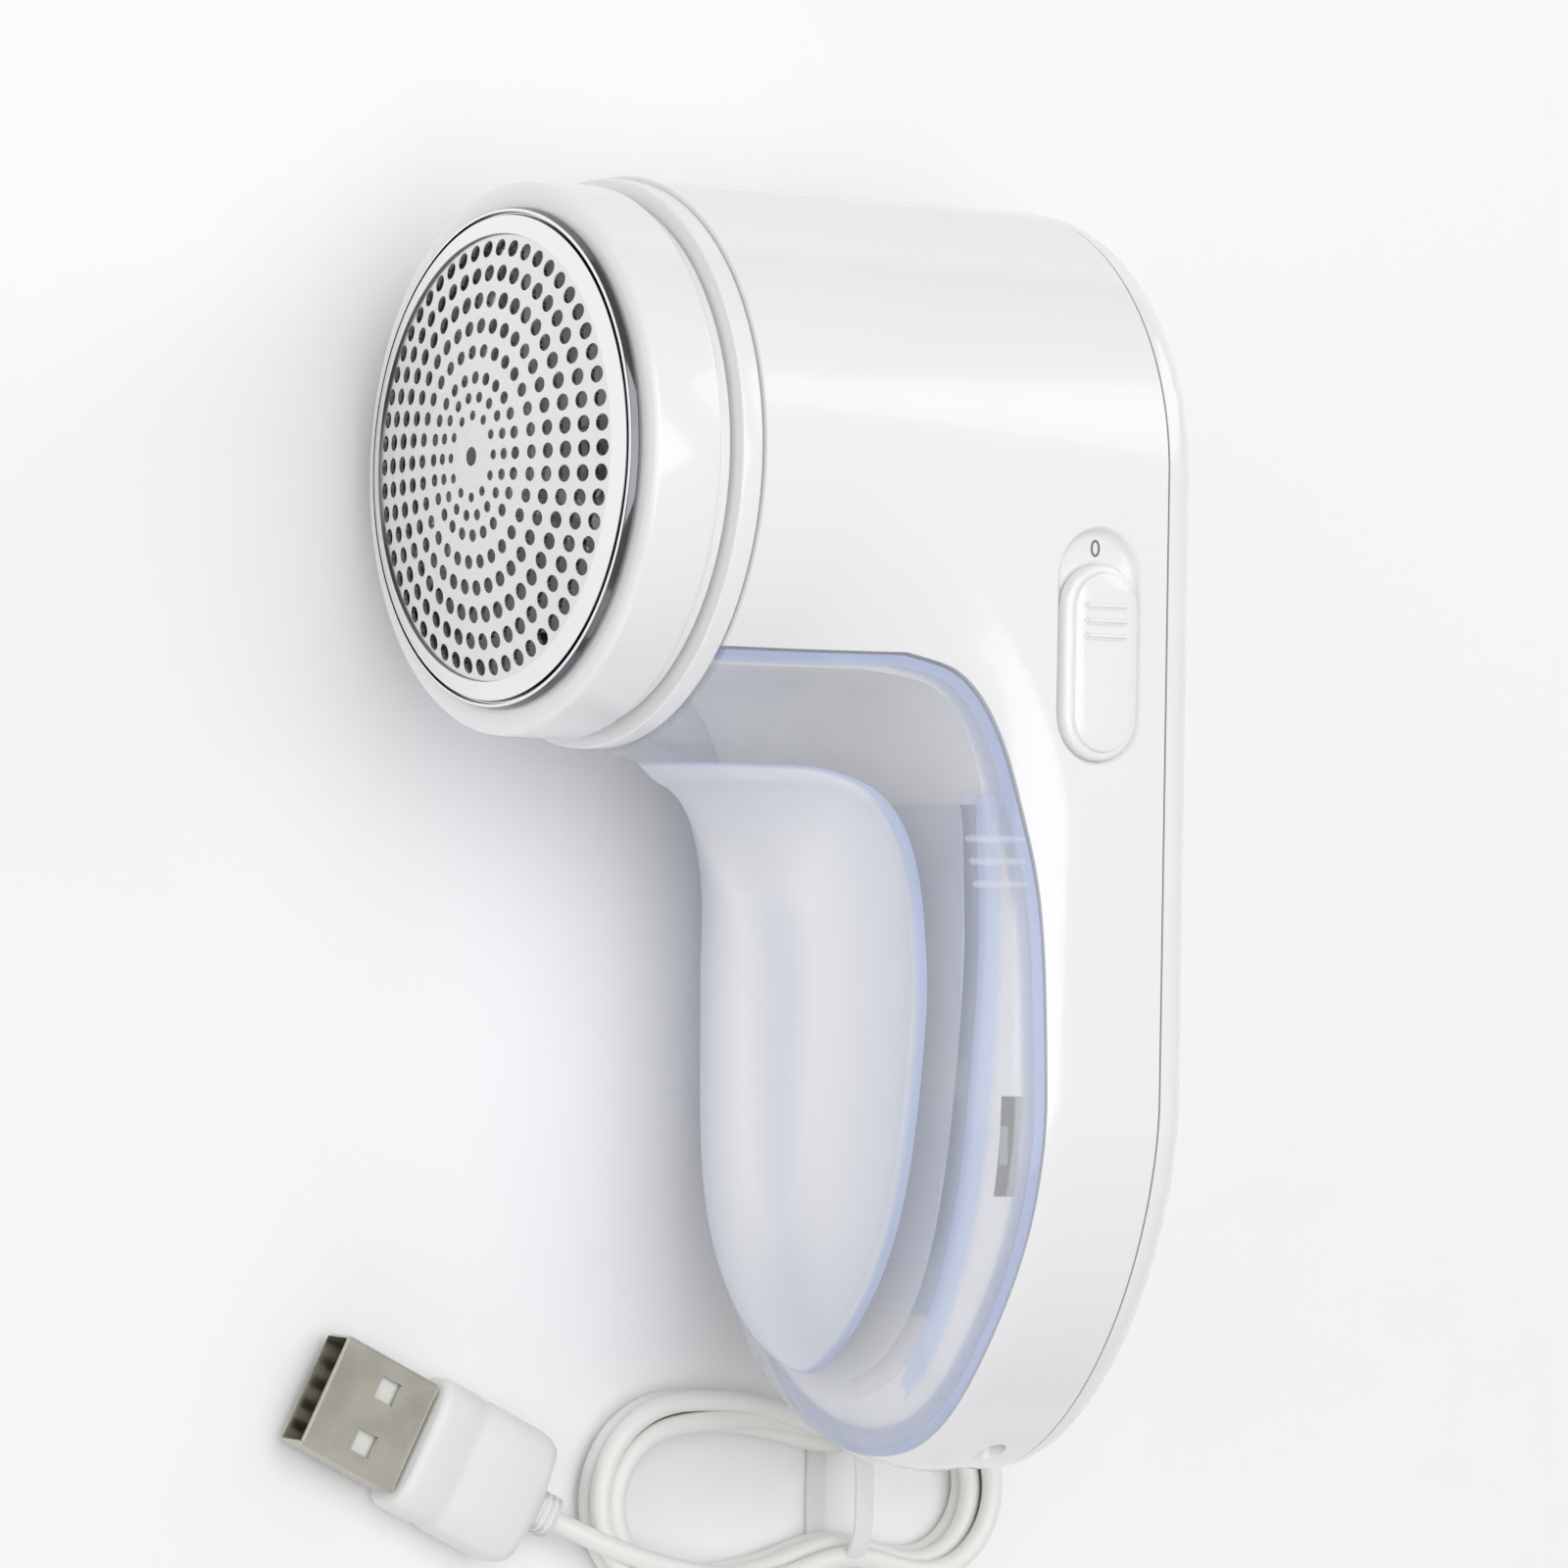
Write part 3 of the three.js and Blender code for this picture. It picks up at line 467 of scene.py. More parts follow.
def block(x0, x1, y0, y1, z0, z1, name="block", bevel=0.0, turn=None):
    """A box with bevelled edges, where turn maps its corners."""
    corners = [(x, y, z) for x in (x0, x1) for y in (y0, y1) for z in (z0, z1)]
    if turn is not None:
        corners = [turn(p) for p in corners]
    faces = [(0, 1, 3, 2), (4, 6, 7, 5), (0, 4, 5, 1), (2, 3, 7, 6), (0, 2, 6, 4), (1, 5, 7, 3)]
    made = new_object(name, corners, faces)
    if bevel:
        shape = bmesh.new()
        shape.from_mesh(made.data)
        bmesh.ops.bevel(shape, geom=shape.edges[:], offset=bevel * MM, segments=3, affect="EDGES")
        shape.to_mesh(made.data)
        shape.free()
    return made


def slab(outline, z0, z1):
    """A side view outline, in x and y, as a slab between two z values."""
    return loft("slab", [[(x, y, z) for x, y in outline] for z in (z0, z1)])


def rod(x0, x1, radius, y=0, z=0, sides=48):
    """A rod that lies along x."""
    angles = np.linspace(0, 2 * np.pi, sides, endpoint=False)
    ring = [(y + radius * np.cos(a), z + radius * np.sin(a)) for a in angles]
    return loft("rod", [[(x, a, b) for a, b in ring] for x in (x0, x1)])


def upright(x, y0, y1, z, radius, sides=48):
    """A rod that stands along y."""
    angles = np.linspace(0, 2 * np.pi, sides, endpoint=False)
    ring = [(x + radius * np.cos(a), z + radius * np.sin(a)) for a in angles]
    return loft("upright", [[(a, y, b) for a, b in ring] for y in (y0, y1)])


def curve_through(points, closed=False, steps=14):
    """A smooth line through 2D points."""
    points = [np.array(p, float) for p in points]
    count = len(points)
    line = []
    for i in range(count if closed else count - 1):
        near = [i - 1, i, i + 1, i + 2]
        a, b, c, d = (points[j % count] if closed else points[min(max(j, 0), count - 1)]
                      for j in near)
        for t in np.arange(steps) / steps:
            line.append(0.5 * (2 * b + (c - a) * t + (2 * a - 5 * b + 4 * c - d) * t**2
                               + (3 * b - a - 3 * c + d) * t**3))
    return line if closed else [*line, points[-1]]


def stadium(x, y0, y1, width, inset=0.0, steps=20):
    """A slot's outline that stands along y, pulled in by inset."""
    radius = width / 2 - inset
    turns = np.linspace(0, np.pi, steps)
    top = [(x + radius * np.cos(a), y1 - width / 2 + radius * np.sin(a)) for a in turns]
    low = [(x - radius * np.cos(a), y0 + width / 2 - radius * np.sin(a)) for a in turns]
    return top + low


# ---------------------------------------------------------------- the moulded outer shape


def handle_form(x, y, z):
    """1 on the handle's surface: a column with a rounded front and a pointed, rounded lower end."""
    low = np.clip((HANDLE["low"] - y) / HANDLE["reach"], 0, None)
    centre = HANDLE["centre"] + HANDLE["sweep"] * np.clip(low, 0, 1) ** 4
    ahead = np.maximum(centre - x, 0) / HANDLE["nose"]
    section = np.sqrt(ahead**2 + (z / R) ** 2) + 1e-9
    power = 1.75 + 1.25 * (ahead / section) ** 2
    return (section**power + low**power) ** (1 / power)


def slope(form, x, y, z, step=0.01):
    return np.stack([
        form(x + step, y, z) - form(x - step, y, z),
        form(x, y + step, z) - form(x, y - step, z),
        form(x, y, z + step) - form(x, y, z - step),
    ]) / (2 * step)


def skin_field(x, y, z):
    """Roughly the distance from the shaver's outer skin, negative inside."""
    barrel = np.hypot(y, z) - R
    steep = np.sqrt((slope(handle_form, x, y, z) ** 2).sum(axis=0)) + 1e-9
    handle = np.maximum((handle_form(x, y, z) - 1) / steep, y - HANDLE["top"])
    fillet = 24 - 8 * np.clip(np.abs(z) / R, 0, 1) ** 2
    share = np.clip(fillet - np.abs(barrel - handle), 0, None) / fillet
    joined = np.minimum(barrel, handle) - share**2 * fillet / 4
    return np.maximum(joined, np.abs(z) - R)


def surface_of(field, low, high, step):
    """The zero surface of a field as points and quads, one point to each cell that it crosses."""
    lines = [np.arange(a, b + step, step) for a, b in zip(low, high)]
    values = field(*np.meshgrid(*lines, indexing="ij"))
    inside = values < 0
    size = np.array(values.shape) - 1
    count = np.zeros(size, int)
    for i, j, k in np.ndindex(2, 2, 2):
        count += inside[i:i + size[0], j:j + size[1], k:k + size[2]]
    crossed = (count > 0) & (count < 8)
    cells = np.argwhere(crossed)
    number = -np.ones(size, int)
    number[crossed] = np.arange(len(cells))
    total, hits = np.zeros((len(cells), 3)), np.zeros(len(cells))
    for axis in range(3):
        unit = np.eye(3, dtype=int)[axis]
        others = [np.eye(3, dtype=int)[a] for a in range(3) if a != axis]
        for i, j in np.ndindex(2, 2):
            start = cells + i * others[0] + j * others[1]
            a, b = values[tuple(start.T)], values[tuple((start + unit).T)]
            cut = (a < 0) != (b < 0)
            share = np.where(cut, a / np.where(cut, a - b, 1), 0)
            total += np.where(cut[:, None], start + share[:, None] * unit, 0)
            hits += cut
    points = np.array(low) + step * total / hits[:, None]
    quads = []
    for axis in range(3):
        unit = np.eye(3, dtype=int)[axis]
        b, c = (np.eye(3, dtype=int)[a] for a in range(3) if a != axis)
        first = inside[tuple(slice(0, -1) if a == axis else slice(None) for a in range(3))]
        second = inside[tuple(slice(1, None) if a == axis else slice(None) for a in range(3))]
        at = np.argwhere(first != second)
        quads.append(np.stack([number[tuple((at - d).T)] for d in (0 * unit, b, b + c, c)], 1))
    return points, np.concatenate(quads)


def settled(points, field):
    """Points moved along the field's slope onto its zero surface."""
    for _ in range(3):
        grade = slope(field, *points.T)
        points = points - (field(*points.T) / (grade**2).sum(axis=0) * grade).T
    return points


def skin(inset, front, rear, soft_edge=0.0):
    """The closed outer shape pulled in by inset, between two x values. soft_edge rounds its rear."""
    margin = 0 if soft_edge else 4

    def field(x, y, z):
        side = skin_field(x, y, z) + inset
        back = x - rear - margin
        if soft_edge:
            share = np.clip(soft_edge - np.abs(side - back), 0, None) / soft_edge
            side = np.maximum(side, back) + share**2 * soft_edge / 4
        return np.maximum(np.maximum(side, back), front - 4 - x)

    low = (front - 6, -104, -R - 3)
    high = (rear + margin + 2, R + 3, R + 3)
    points, quads = surface_of(field, low, high, GRID)
    made = new_object("skin", settled(points, field), quads)
    return combine(made, "INTERSECT", block(front, rear + 1 if soft_edge else rear, -120, 60, -50, 50))


def ahead(points, shift=0.0):
    """Everything in front of and below a side curve, shifted back and up."""
    line = curve_through([(x + shift, y + shift) for x, y in points])
    level = points[0][1] + shift
    return slab([(-20, -112), (-20, level), *line, (line[-1][0], -112)], -40, 40)


def smooth_skin(made, insets):
    """Gives every corner that lies on the moulded skin the skin's own normal, so that cuts leave no
    trace in the reflections. The other faces keep their own."""
    mesh = made.data
    mesh.shade_smooth()
    mesh.set_sharp_from_angle(angle=np.radians(30))
    points = np.zeros(len(mesh.vertices) * 3)
    mesh.vertices.foreach_get("co", points)
    points = (points.reshape(-1, 3) - ORIGIN) / MM
    height = skin_field(*points.T)
    grade = slope(skin_field, *points.T, step=1.5).T
    grade /= np.linalg.norm(grade, axis=1)[:, None] + 1e-12
    corners = np.zeros(len(mesh.loops), int)
    mesh.loops.foreach_get("vertex_index", corners)
    normals = np.zeros((len(mesh.loops), 3))
    for face in mesh.polygons:
        loops = np.arange(face.loop_start, face.loop_start + face.loop_total)
        around = corners[loops]
        facing = grade[around] @ np.array(face.normal)
        for inset in insets:
            if np.all(np.abs(height[around] + inset) < 0.06) and np.all(np.abs(facing) > 0.9):
                normals[loops] = grade[around] * np.sign(facing)[:, None]
    mesh.normals_split_custom_set(normals.tolist())
    return points


# ---------------------------------------------------------------- pieces

MATERIALS = make_materials()


def show(piece, body, slot, *nodes, material=None):
    """Gives a piece its finish and body, and hides the CAD nodes that it stands for."""
    piece.data.materials.clear()
    piece.data.materials.append(MATERIALS[material or slot])
    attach(piece, body)
    if nodes:
        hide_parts(*nodes)
    return piece


def switch_outline(inset=0.0, top=SWITCH["top"], bottom=SWITCH["bottom"], width=SWITCH["width"]):
    return stadium(SWITCH["x"], bottom, top, width, inset)


def pillow(name, outline, levels):
    """A pad whose outline is pulled in step by step as it rises, from (inset, z) pairs."""
    return loft(name, [[(x, y, z) for x, y in outline(inset)] for inset, z in levels])


def add_housing():
    """Barrel and handle in one moulding, hollow, with a narrower tongue that the bin closes over.
    What cuts it runs on past the skin."""
    housing = combine(skin(0, FRONT, SEAM), "DIFFERENCE", ahead(RIM))
    tongue = combine(skin(BIN_WALL + GAP, FRONT, SEAM), "DIFFERENCE", ahead(TONGUE))
    housing = combine(housing, "UNION", tongue)
    room = combine(skin(WALL, FRONT - 3, 70), "DIFFERENCE", ahead(RIM, BIN_WALL))
    inner = combine(skin(2 * BIN_WALL + GAP, FRONT - 3, 70), "DIFFERENCE", ahead(TONGUE, BIN_WALL))
    housing = combine(housing, "DIFFERENCE", room, inner)
    windows = []
    for side in (1, -1):
        near, far = sorted((side * WINDOW["inner"], side * WINDOW["outer"]))
        windows.append(block(WINDOW["x0"], WINDOW["x1"], WINDOW["bottom"], WINDOW["top"], near, far))
    mouth = block(11, 17.6, -26, -16, -10, 10)
    x, top = SWITCH["x"], R - SWITCH["depth"]
    recess = pillow("recess", switch_outline, [(0.9, top), (0.5, top + 0.12), (0.12, top + 0.5),
                                               (0, top + 0.8), (-0.25, R), (-0.25, R + 2)])
    slot = block(x - 1.8, x + 1.8, -23.5, -14, R - 4, R - 0.8)
    socket = upright(SOCKET["x"], -106, SOCKET["top"], 0, SOCKET["radius"])
    lens = upright(SOCKET["x"], -106, SOCKET["lens_top"], SOCKET["lens_z"], SOCKET["lens_radius"])
    housing = combine(housing, "DIFFERENCE", *windows, mouth, recess, slot, socket, lens)
    smooth_skin(housing, (0, WALL, BIN_WALL + GAP, 2 * BIN_WALL + GAP))
    housing.name = "housing_shell"
    show(housing, "shaver_body", "white_gloss", "main_housing")


def add_rear_cover():
    """The cover with its screw holes, and a dark ring in the seam: painted shade in place of the
    gap's shadow, which also keeps light from coming through it."""
    cover = skin(0.1, SEAM + GAP, REAR, soft_edge=4.0)
    for y, z in SCREWS:
        cover = combine(cover, "DIFFERENCE", rod(REAR - 1.3, 70, 3.1, y, z), rod(50, 70, 1.5, y, z))
    mesh = cover.data
    mesh.shade_smooth()
    mesh.set_sharp_from_angle(angle=np.radians(30))
    cover.name = "rear_cover_shell"
    show(cover, "shaver_body", "white_gloss", "rear_cover")
    # A dark ring across the seam gap: painted shade, standing in for the gap's shadow.
    painted_seam_shade = combine(skin(0.3, SEAM - 0.1, SEAM + GAP + 0.1), "DIFFERENCE",
                     skin(WALL, SEAM - 1, SEAM + GAP + 1))
    painted_seam_shade.name = "painted_seam_shade_ring"
    show(painted_seam_shade, "shaver_body", "white_inner", material="shadow_grey")


def add_screws():
    head = REAR - 0.2
    for i, (y, z) in enumerate(SCREWS):
        screw = turned("screw", [[51, 0], [51, 1.2], [head - 1, 1.2], [head - 0.9, 2.7],
                                 [head, 2.7], [head, 0]], 0.3, 48,
                       lambda p, y=y, z=z: (p[0], p[1] + y, p[2] + z))
        for wide, tall in ((1.7, 0.32), (0.32, 1.7)):
            cross = block(head - 0.6, 70, y - wide, y + wide, z - tall, z + tall)
            screw = combine(screw, "DIFFERENCE", cross)
        screw.data.set_sharp_from_angle(angle=np.radians(30))
        screw.name = f"screw_{i + 1}"
        show(screw, "shaver_body", "steel", f"cover_screw_{i + 1}")


def to_line(points, line):
    """Each 2D point's distance to a line of 2D points."""
    line = np.array(line, float)
    start, along = line[:-1], np.diff(line, axis=0)
    best = np.full(len(points), 1e9)
    for a, d in zip(start, along):
        t = np.clip((points - a) @ d / (d @ d), 0, 1)
        best = np.minimum(best, np.linalg.norm(points - a - t[:, None] * d, axis=1))
    return best


def store(mesh, name, values):
    mesh.attributes.new(name, "FLOAT", "POINT").data.foreach_set("value", values)


def add_bin():
    front = FRONT + GAP
    shell = combine(skin(0, front, 70), "INTERSECT", ahead(RIM, -GAP))
    shell = combine(shell, "DIFFERENCE", skin(BIN_WALL, front - 3, 75))
    wall = combine(ahead(TONGUE, -GAP), "DIFFERENCE", ahead(TONGUE, -GAP - BIN_BACK))
    wall = combine(wall, "INTERSECT", skin(BIN_WALL / 2, front, 70), block(20, 60, -120, -33, -40, 40))
    shell = combine(shell, "UNION", wall)
    points = smooth_skin(shell, (0, BIN_WALL))
    side = points[:, :2]
    level = RIM[0][1] - GAP
    rim = [(-20, level), *curve_through([(x - GAP, y - GAP) for x, y in RIM])]
    back = curve_through([(x - GAP - BIN_BACK / 2, y - GAP) for x, y in TONGUE[3:]])
    flank = np.abs(points[:, 2]) > np.interp(side[:, 1], [-103, -85, -60], [5, 16, 21])
    lines = np.minimum(to_line(side, rim), np.where(flank, to_line(side, back) * 1.3, 99))
    store(shell.data, "rim", np.where(lines > 0, lines, 0))
    shell.name = "bin_shell"
    show(shell, "lint_bin", "bin_clear", "lint_bin")


def add_pad():
    """The frosted grip pad, which stands a little proud of the bin's front with a ridge round it."""
    loop = [*PAD, PAD_LOW, *[[-z, y] for z, y in PAD[:0:-1]]]
    outline = np.array(curve_through(loop, closed=True, steps=16))
    centre = np.array([0.0, -58.0])
    shares = [1, 0.99, 0.975, 0.96, 0.94, 0.91, *np.linspace(0.86, 0.04, 22)]
    rings, insets = [], []
    for share in shares:
        ring = centre + (outline - centre) * share
        inset = np.linalg.norm(outline - centre, axis=1) * (1 - share)
        lift = 0.75 * np.clip(inset / 0.9, 0, 1) ** 0.5 + 0.25 * np.exp(-((inset - 0.9) / 0.5) ** 2)
        z, y = ring.T
        x = march(y, z)
        rise = slope(skin_field, x, y, z)
        rise /= np.linalg.norm(rise, axis=0)
        rings.append((np.stack([x, y, z]) + rise * lift).T)
        insets.append(inset)
    points = np.concatenate(rings)
    count = len(outline)
    faces = []
    for i in range(len(rings) - 1):
        for j in range(count):
            k = (j + 1) % count
            faces.append((i * count + j, i * count + k, (i + 1) * count + k, (i + 1) * count + j))
    faces.append(tuple((len(rings) - 1) * count + j for j in range(count)))
    pad = new_object("grip_pad", points, faces, 60)
    placed = np.zeros(len(pad.data.vertices) * 3)
    pad.data.vertices.foreach_get("co", placed)
    placed = (placed.reshape(-1, 3) - ORIGIN) / MM
    closed = [*outline, outline[0]]
    store(pad.data, "inset", to_line(placed[:, [2, 1]], closed))
    # How strong the painted shade band down the nose is, fading out towards the pad's top and bottom.
    low_end = np.clip((placed[:, 1] + 94) / 14, 0, 1) * np.clip((-33 - placed[:, 1]) / 12, 0, 1)
    store(pad.data, "nose", 0.8 * low_end * np.exp(-(((placed[:, 2] - NOSE_PAINTED_SHADE) / 5.5) ** 2)))
    show(pad, "lint_bin", "bin_clear", material="pad")


def march(y, z):
    """The x where a line straight in from the front meets the skin at each y and z."""
    low, high = np.full(len(y), 10.0), np.full(len(y), 60.0)
    for start in np.arange(10, 60, 0.5):
        outside = skin_field(np.full(len(y), start), y, z) > 0
        low = np.where(outside & (low >= start - 0.6), start, low)
    high = low + 0.6
    for _ in range(12):
        middle = (low + high) / 2
        outside = skin_field(middle, y, z) > 0
        low, high = np.where(outside, middle, low), np.where(outside, high, middle)
    return (low + high) / 2


def add_grip_ribs():
    bars = [block(35.6 + i * 0.5, 42.6 + i * 0.2, y - 0.35, y + 0.35, R - 0.5, R + 0.35, bevel=0.2)
            for i, y in enumerate(RIB_LINES)]
    ribs = merged("grip_ribs", bars)
    store(ribs.data, "rim", np.full(len(ribs.data.vertices), 1.1))
    ribs.data.shade_smooth()
    show(ribs, "lint_bin", "bin_clear")


# ---------------------------------------------------------------- head


def add_head():
    """The lock ring, with a fine groove before its step, the collar and the bezel, whose side and
    groove are painted a darker chrome than its front, as painted shade and painted dark reflection."""
    low, high = extent("lock_ring")
    front, rear, groove = low[0], high[0] + 0.15, RING_STEP - 0.35
    ring = turned("lock_ring_turned", [[front, 24.6], [front, 26.4], [groove, 26.4], [groove, 25.5],
                                       [RING_STEP, 25.5], [RING_STEP, 28.1], [rear, 28.1],
                                       [rear, 24.6]], 0.25, 200)
    show(ring, "lock_ring", "white_gloss", "lock_ring")
    collar = turned("collar_turned", [[0, 23.4], [0, 27.1], [7.4, 27.3], [7.4, 24.3], [10.4, 24.3],
                                      [10.4, 23.4]], 0.55, 200)
    show(collar, "guard_head", "white_gloss", "guard_collar")
    front, eye = extent("foil_bezel")[0][0], foil_edge()
    bezel = turned("bezel_turned", [[front + 0.15, eye], [front + 0.75, 23.75], [front + 1.3, 23.8],
                                    [front + 1.3, 24], [front + 0.8, 24.05], [front + 0.9, 24.4],
                                    [-0.35, 24.6], [-0.35, 23.1], [3.4, 23.1], [3.4, 22.6],
                                    [-0.8, 22.6], [-0.8, eye]], 0.08, 240)
    show(bezel, "guard_head", "chrome_bezel", "foil_bezel")
    bezel.data.materials.append(MATERIALS["chrome_painted_shade"])
    # The side and groove faces get the darker chrome, painted shade and painted dark reflection.
    for face in bezel.data.polygons:
        face.material_index = int(abs(face.normal.x) < 0.85)  # 1 on the side and in the groove


def foil_edge():
    """The radius of the opening in the bezel."""
    return extent("cutting_foil")[1][1] + 0.15


def foil_front(radius):
    """The x of the foil's domed front at a radius."""
    return extent("cutting_foil")[0][0] + FOIL_RISE * (radius / foil_edge()) ** 2


def add_foil():
    radii = np.linspace(0, foil_edge() + 0.3, 26)
    outside = [[foil_front(r), r] for r in radii]
    inside = [[foil_front(r) + 0.4, r] for r in radii[::-1]]
    foil = turned("foil_pressed", outside + inside, 0, 160)
    holes = []
    for ring, radius in enumerate(HOLE_RINGS):
        count = 12 + 6 * ring
        size = 0.5 + 0.34 * min(1, ring / 5)
        for i in range(count):
            angle = 2 * np.pi * (i + 0.5 * (ring % 2)) / count
            holes.append(rod(-8, 3, size, radius * np.cos(angle), radius * np.sin(angle), 14))
    holes.append(rod(-8, 3, 0.95, 0, 0, 14))
    foil = combine(foil, "DIFFERENCE", merged("holes", holes))
    mesh = foil.data
    mesh.shade_smooth()
    points = np.zeros(len(mesh.vertices) * 3)
    mesh.vertices.foreach_get("co", points)
    points = (points.reshape(-1, 3) - ORIGIN) / MM
    bend = 2 * FOIL_RISE / foil_edge() ** 2
    normals = np.stack([-np.ones(len(points)), bend * points[:, 1], bend * points[:, 2]], 1)
    normals /= np.linalg.norm(normals, axis=1)[:, None]
    corner_normals = np.zeros((len(mesh.loops), 3))
    for face in mesh.polygons:
        if abs(face.normal.x) < 0.8:
            corner_normals[face.loop_start:face.loop_start + face.loop_total] = face.normal
            continue
        for loop in range(face.loop_start, face.loop_start + face.loop_total):
            normal = normals[mesh.loops[loop].vertex_index]
            corner_normals[loop] = normal * (1 if face.normal.x < 0 else -1)
    mesh.normals_split_custom_set(corner_normals.tolist())
    show(foil, "guard_head", "foil_steel", "cutting_foil")


def add_spring():
    """The cutter's spring as a fixed coil; in the shaver it shortens against the coupling as the cutter
    floats back.
    """
    coil, wire, front, rear = (SPRING[part] for part in ("coil", "wire", "front", "rear"))
    along = np.array([1, 0, 0])
    rings = []
    for share in np.linspace(0, 1, SPRING["turns"] * 32 + 1):
        turn = 2 * np.pi * SPRING["turns"] * share
        out = np.array([0, np.cos(turn), np.sin(turn)])
        centre = along * (front + (rear - front) * share) + coil * out
        rings.append([tuple(centre + wire * (out * np.cos(a) + along * np.sin(a)))
                      for a in np.linspace(0, 2 * np.pi, 10, endpoint=False)])
    spring = loft("spring_coil", rings)
    show(spring, "drive_shaft", "steel", "cutter_spring")
    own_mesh(spring)


# ---------------------------------------------------------------- switch


def add_switch():
    top = SWITCH["top"] - SWITCH["travel"] - GAP
    bottom = SWITCH["bottom"] + GAP

    def outline(inset):
        return switch_outline(inset, top, bottom, SWITCH["width"] - 0.9)

    base = R - SWITCH["depth"] + 0.2
    knob = pillow("knob", outline, [(0, base), (0, R + 0.1), (0.12, R + 0.36), (0.4, R + 0.5),
                                    (0.75, R + 0.5), (0.85, R + 0.62), (0.95, R + 0.92),
                                    (1.2, R + 1.0), (2.4, R + 1.04)])
    bars = [block(SWITCH["x"] - 2.6, SWITCH["x"] + 2.6, y - 0.4, y + 0.4, R + 0.7, R + 1.45,
                  bevel=0.25) for y in (-13.2, -14.7, -16.2)]
    knob = combine(knob, "UNION", *bars)
    knob.data.shade_smooth()
    knob.data.set_sharp_from_angle(angle=np.radians(40))
    knob.name = "switch_cap"
    show(knob, "switch_slider", "white_gloss", "switch_knob")
    angles = np.linspace(0, 2 * np.pi, 40, endpoint=False)
    centre_y, floor = SWITCH["top"] - 1.9, R - SWITCH["depth"]
    rings = [[(SWITCH["x"] + across * np.cos(a), centre_y + up * np.sin(a), z) for a in angles]
             for across, up, z in ((0.34, 0.62, floor - 0.05), (0.34, 0.62, floor + 0.06),
                                   (0.54, 0.84, floor + 0.06), (0.54, 0.84, floor - 0.05))]
    mark = loft("switch_mark_0", rings, closed=True)
    show(mark, "shaver_body", "dark_plastic", material="print_grey")


# ---------------------------------------------------------------- charging lead


def on_usb(point):
    angle = np.radians(USB["angle"])
    x, y, z = point
    return (USB["tip"][0] + x * np.cos(angle) - y * np.sin(angle),
            USB["tip"][1] + x * np.sin(angle) + y * np.cos(angle),
            FLOOR + USB["height"] / 2 + z)


def on_dc(point):
    x, y, z = point
    return (DC["x"] + y, DC["tip"] - x, FLOOR + DC["radius"] + z)


def add_usb_plug():
    length = USB["shell"]
    shell = block(0, length, -6, 6, -2.25, 2.25, bevel=0.3, turn=on_usb)
    shell = combine(shell, "DIFFERENCE",
                    block(-1, length - 0.6, -5.65, 5.65, -1.9, 1.9, turn=on_usb))
    for side in (-1, 1):
        y0, y1 = sorted((side * 1.7, side * 4.1))
        shell = combine(shell, "DIFFERENCE", block(5.4, 7.8, y0, y1, 0, 4, turn=on_usb))
    shell.data.set_sharp_from_angle(angle=np.radians(35))
    shell.name = "usb_shell_folded"
    show(shell, "charging_lead", "plug_steel", "usb_shell")
    tongue = block(1, length - 1, -5.2, 5.2, 0, 1.5, name="usb_tongue_bar", bevel=0.15, turn=on_usb)
    show(tongue, "charging_lead", "white_inner", "usb_tongue")
    strips = [block(1.3, 9, y - 0.55, y + 0.55, -0.06, 0.1, turn=on_usb)
              for y in (-3.5, -1.2, 1.2, 3.5)]
    contacts = merged("usb_contacts", strips)
    show(contacts, "charging_lead", "brass")


def add_usb_grip():
    half_width, half_height = USB["width"] / 2, USB["height"] / 2
    start = USB["shell"] + GAP
    angles = np.linspace(0, 2 * np.pi, 64, endpoint=False)

    def ring(x, wide, tall):
        return [on_usb((x, wide * half_width * np.sign(np.cos(a)) * abs(np.cos(a)) ** 0.5,
                        tall * half_height * np.sign(np.sin(a)) * abs(np.sin(a)) ** 0.5))
                for a in angles]

    end = start + USB["grip"]
    levels = [(start, 0.9, 0.86), (start + 0.15, 0.95, 0.93), (start + 0.6, 0.99, 0.99),
              (start + 1.2, 1, 1), (start + 4.5, 1, 1), (start + 5, 0.975, 0.96),
              (start + 5.8, 0.975, 0.96), (start + 6.3, 1, 1), (end - 6, 1, 1), (end - 4.8, 0.97, 0.98),
              (end - 4, 0.9, 0.95), (end - 3.4, 0.55, 0.8), (end - 3, 0.36, 0.66)]
    for i in range(3):
        x = end - 2.6 + i * 0.85
        levels += [(x, 0.3, 0.58), (x + 0.2, 0.24, 0.46), (x + 0.45, 0.24, 0.46), (x + 0.65, 0.3, 0.56)]
    levels.append((end, 0.22, 0.42))
    grip = loft("usb_grip_moulded", [ring(*level) for level in levels], smooth_angle=50)
    show(grip, "charging_lead", "cord_white", "usb_grip", material="grip_white")
    return grip


def add_dc_plug():
    barrel = turned("dc_barrel_turned", [[0, 1.1], [0, 2.4], [0.5, 2.75], [DC["barrel"], 2.75],
                                         [DC["barrel"], 1.1]], 0.2, 64, on_dc)
    show(barrel, "charging_lead", "plug_steel", "dc_plug_barrel")
    start = DC["barrel"] + GAP
    shoulder = start + DC["grip"]
    outline = [[start, 0], [start, 3.6], [start + 0.8, 4.2], [shoulder - 3, 4.2], [shoulder, 2.5]]
    for i in range(4):
        x = shoulder + 0.4 + i * 1.9
        outline += [[x, 2.45 - i * 0.15], [x + 1, 2.45 - i * 0.15], [x + 1, 1.8], [x + 1.7, 1.8]]
    outline += [[shoulder + DC["relief"], 1.7], [shoulder + DC["relief"], 0]]
    grip = turned("dc_grip_moulded", outline, 0.25, 64, on_dc)
    show(grip, "charging_lead", "cord_white", "dc_plug_grip", material="grip_white")
    return grip


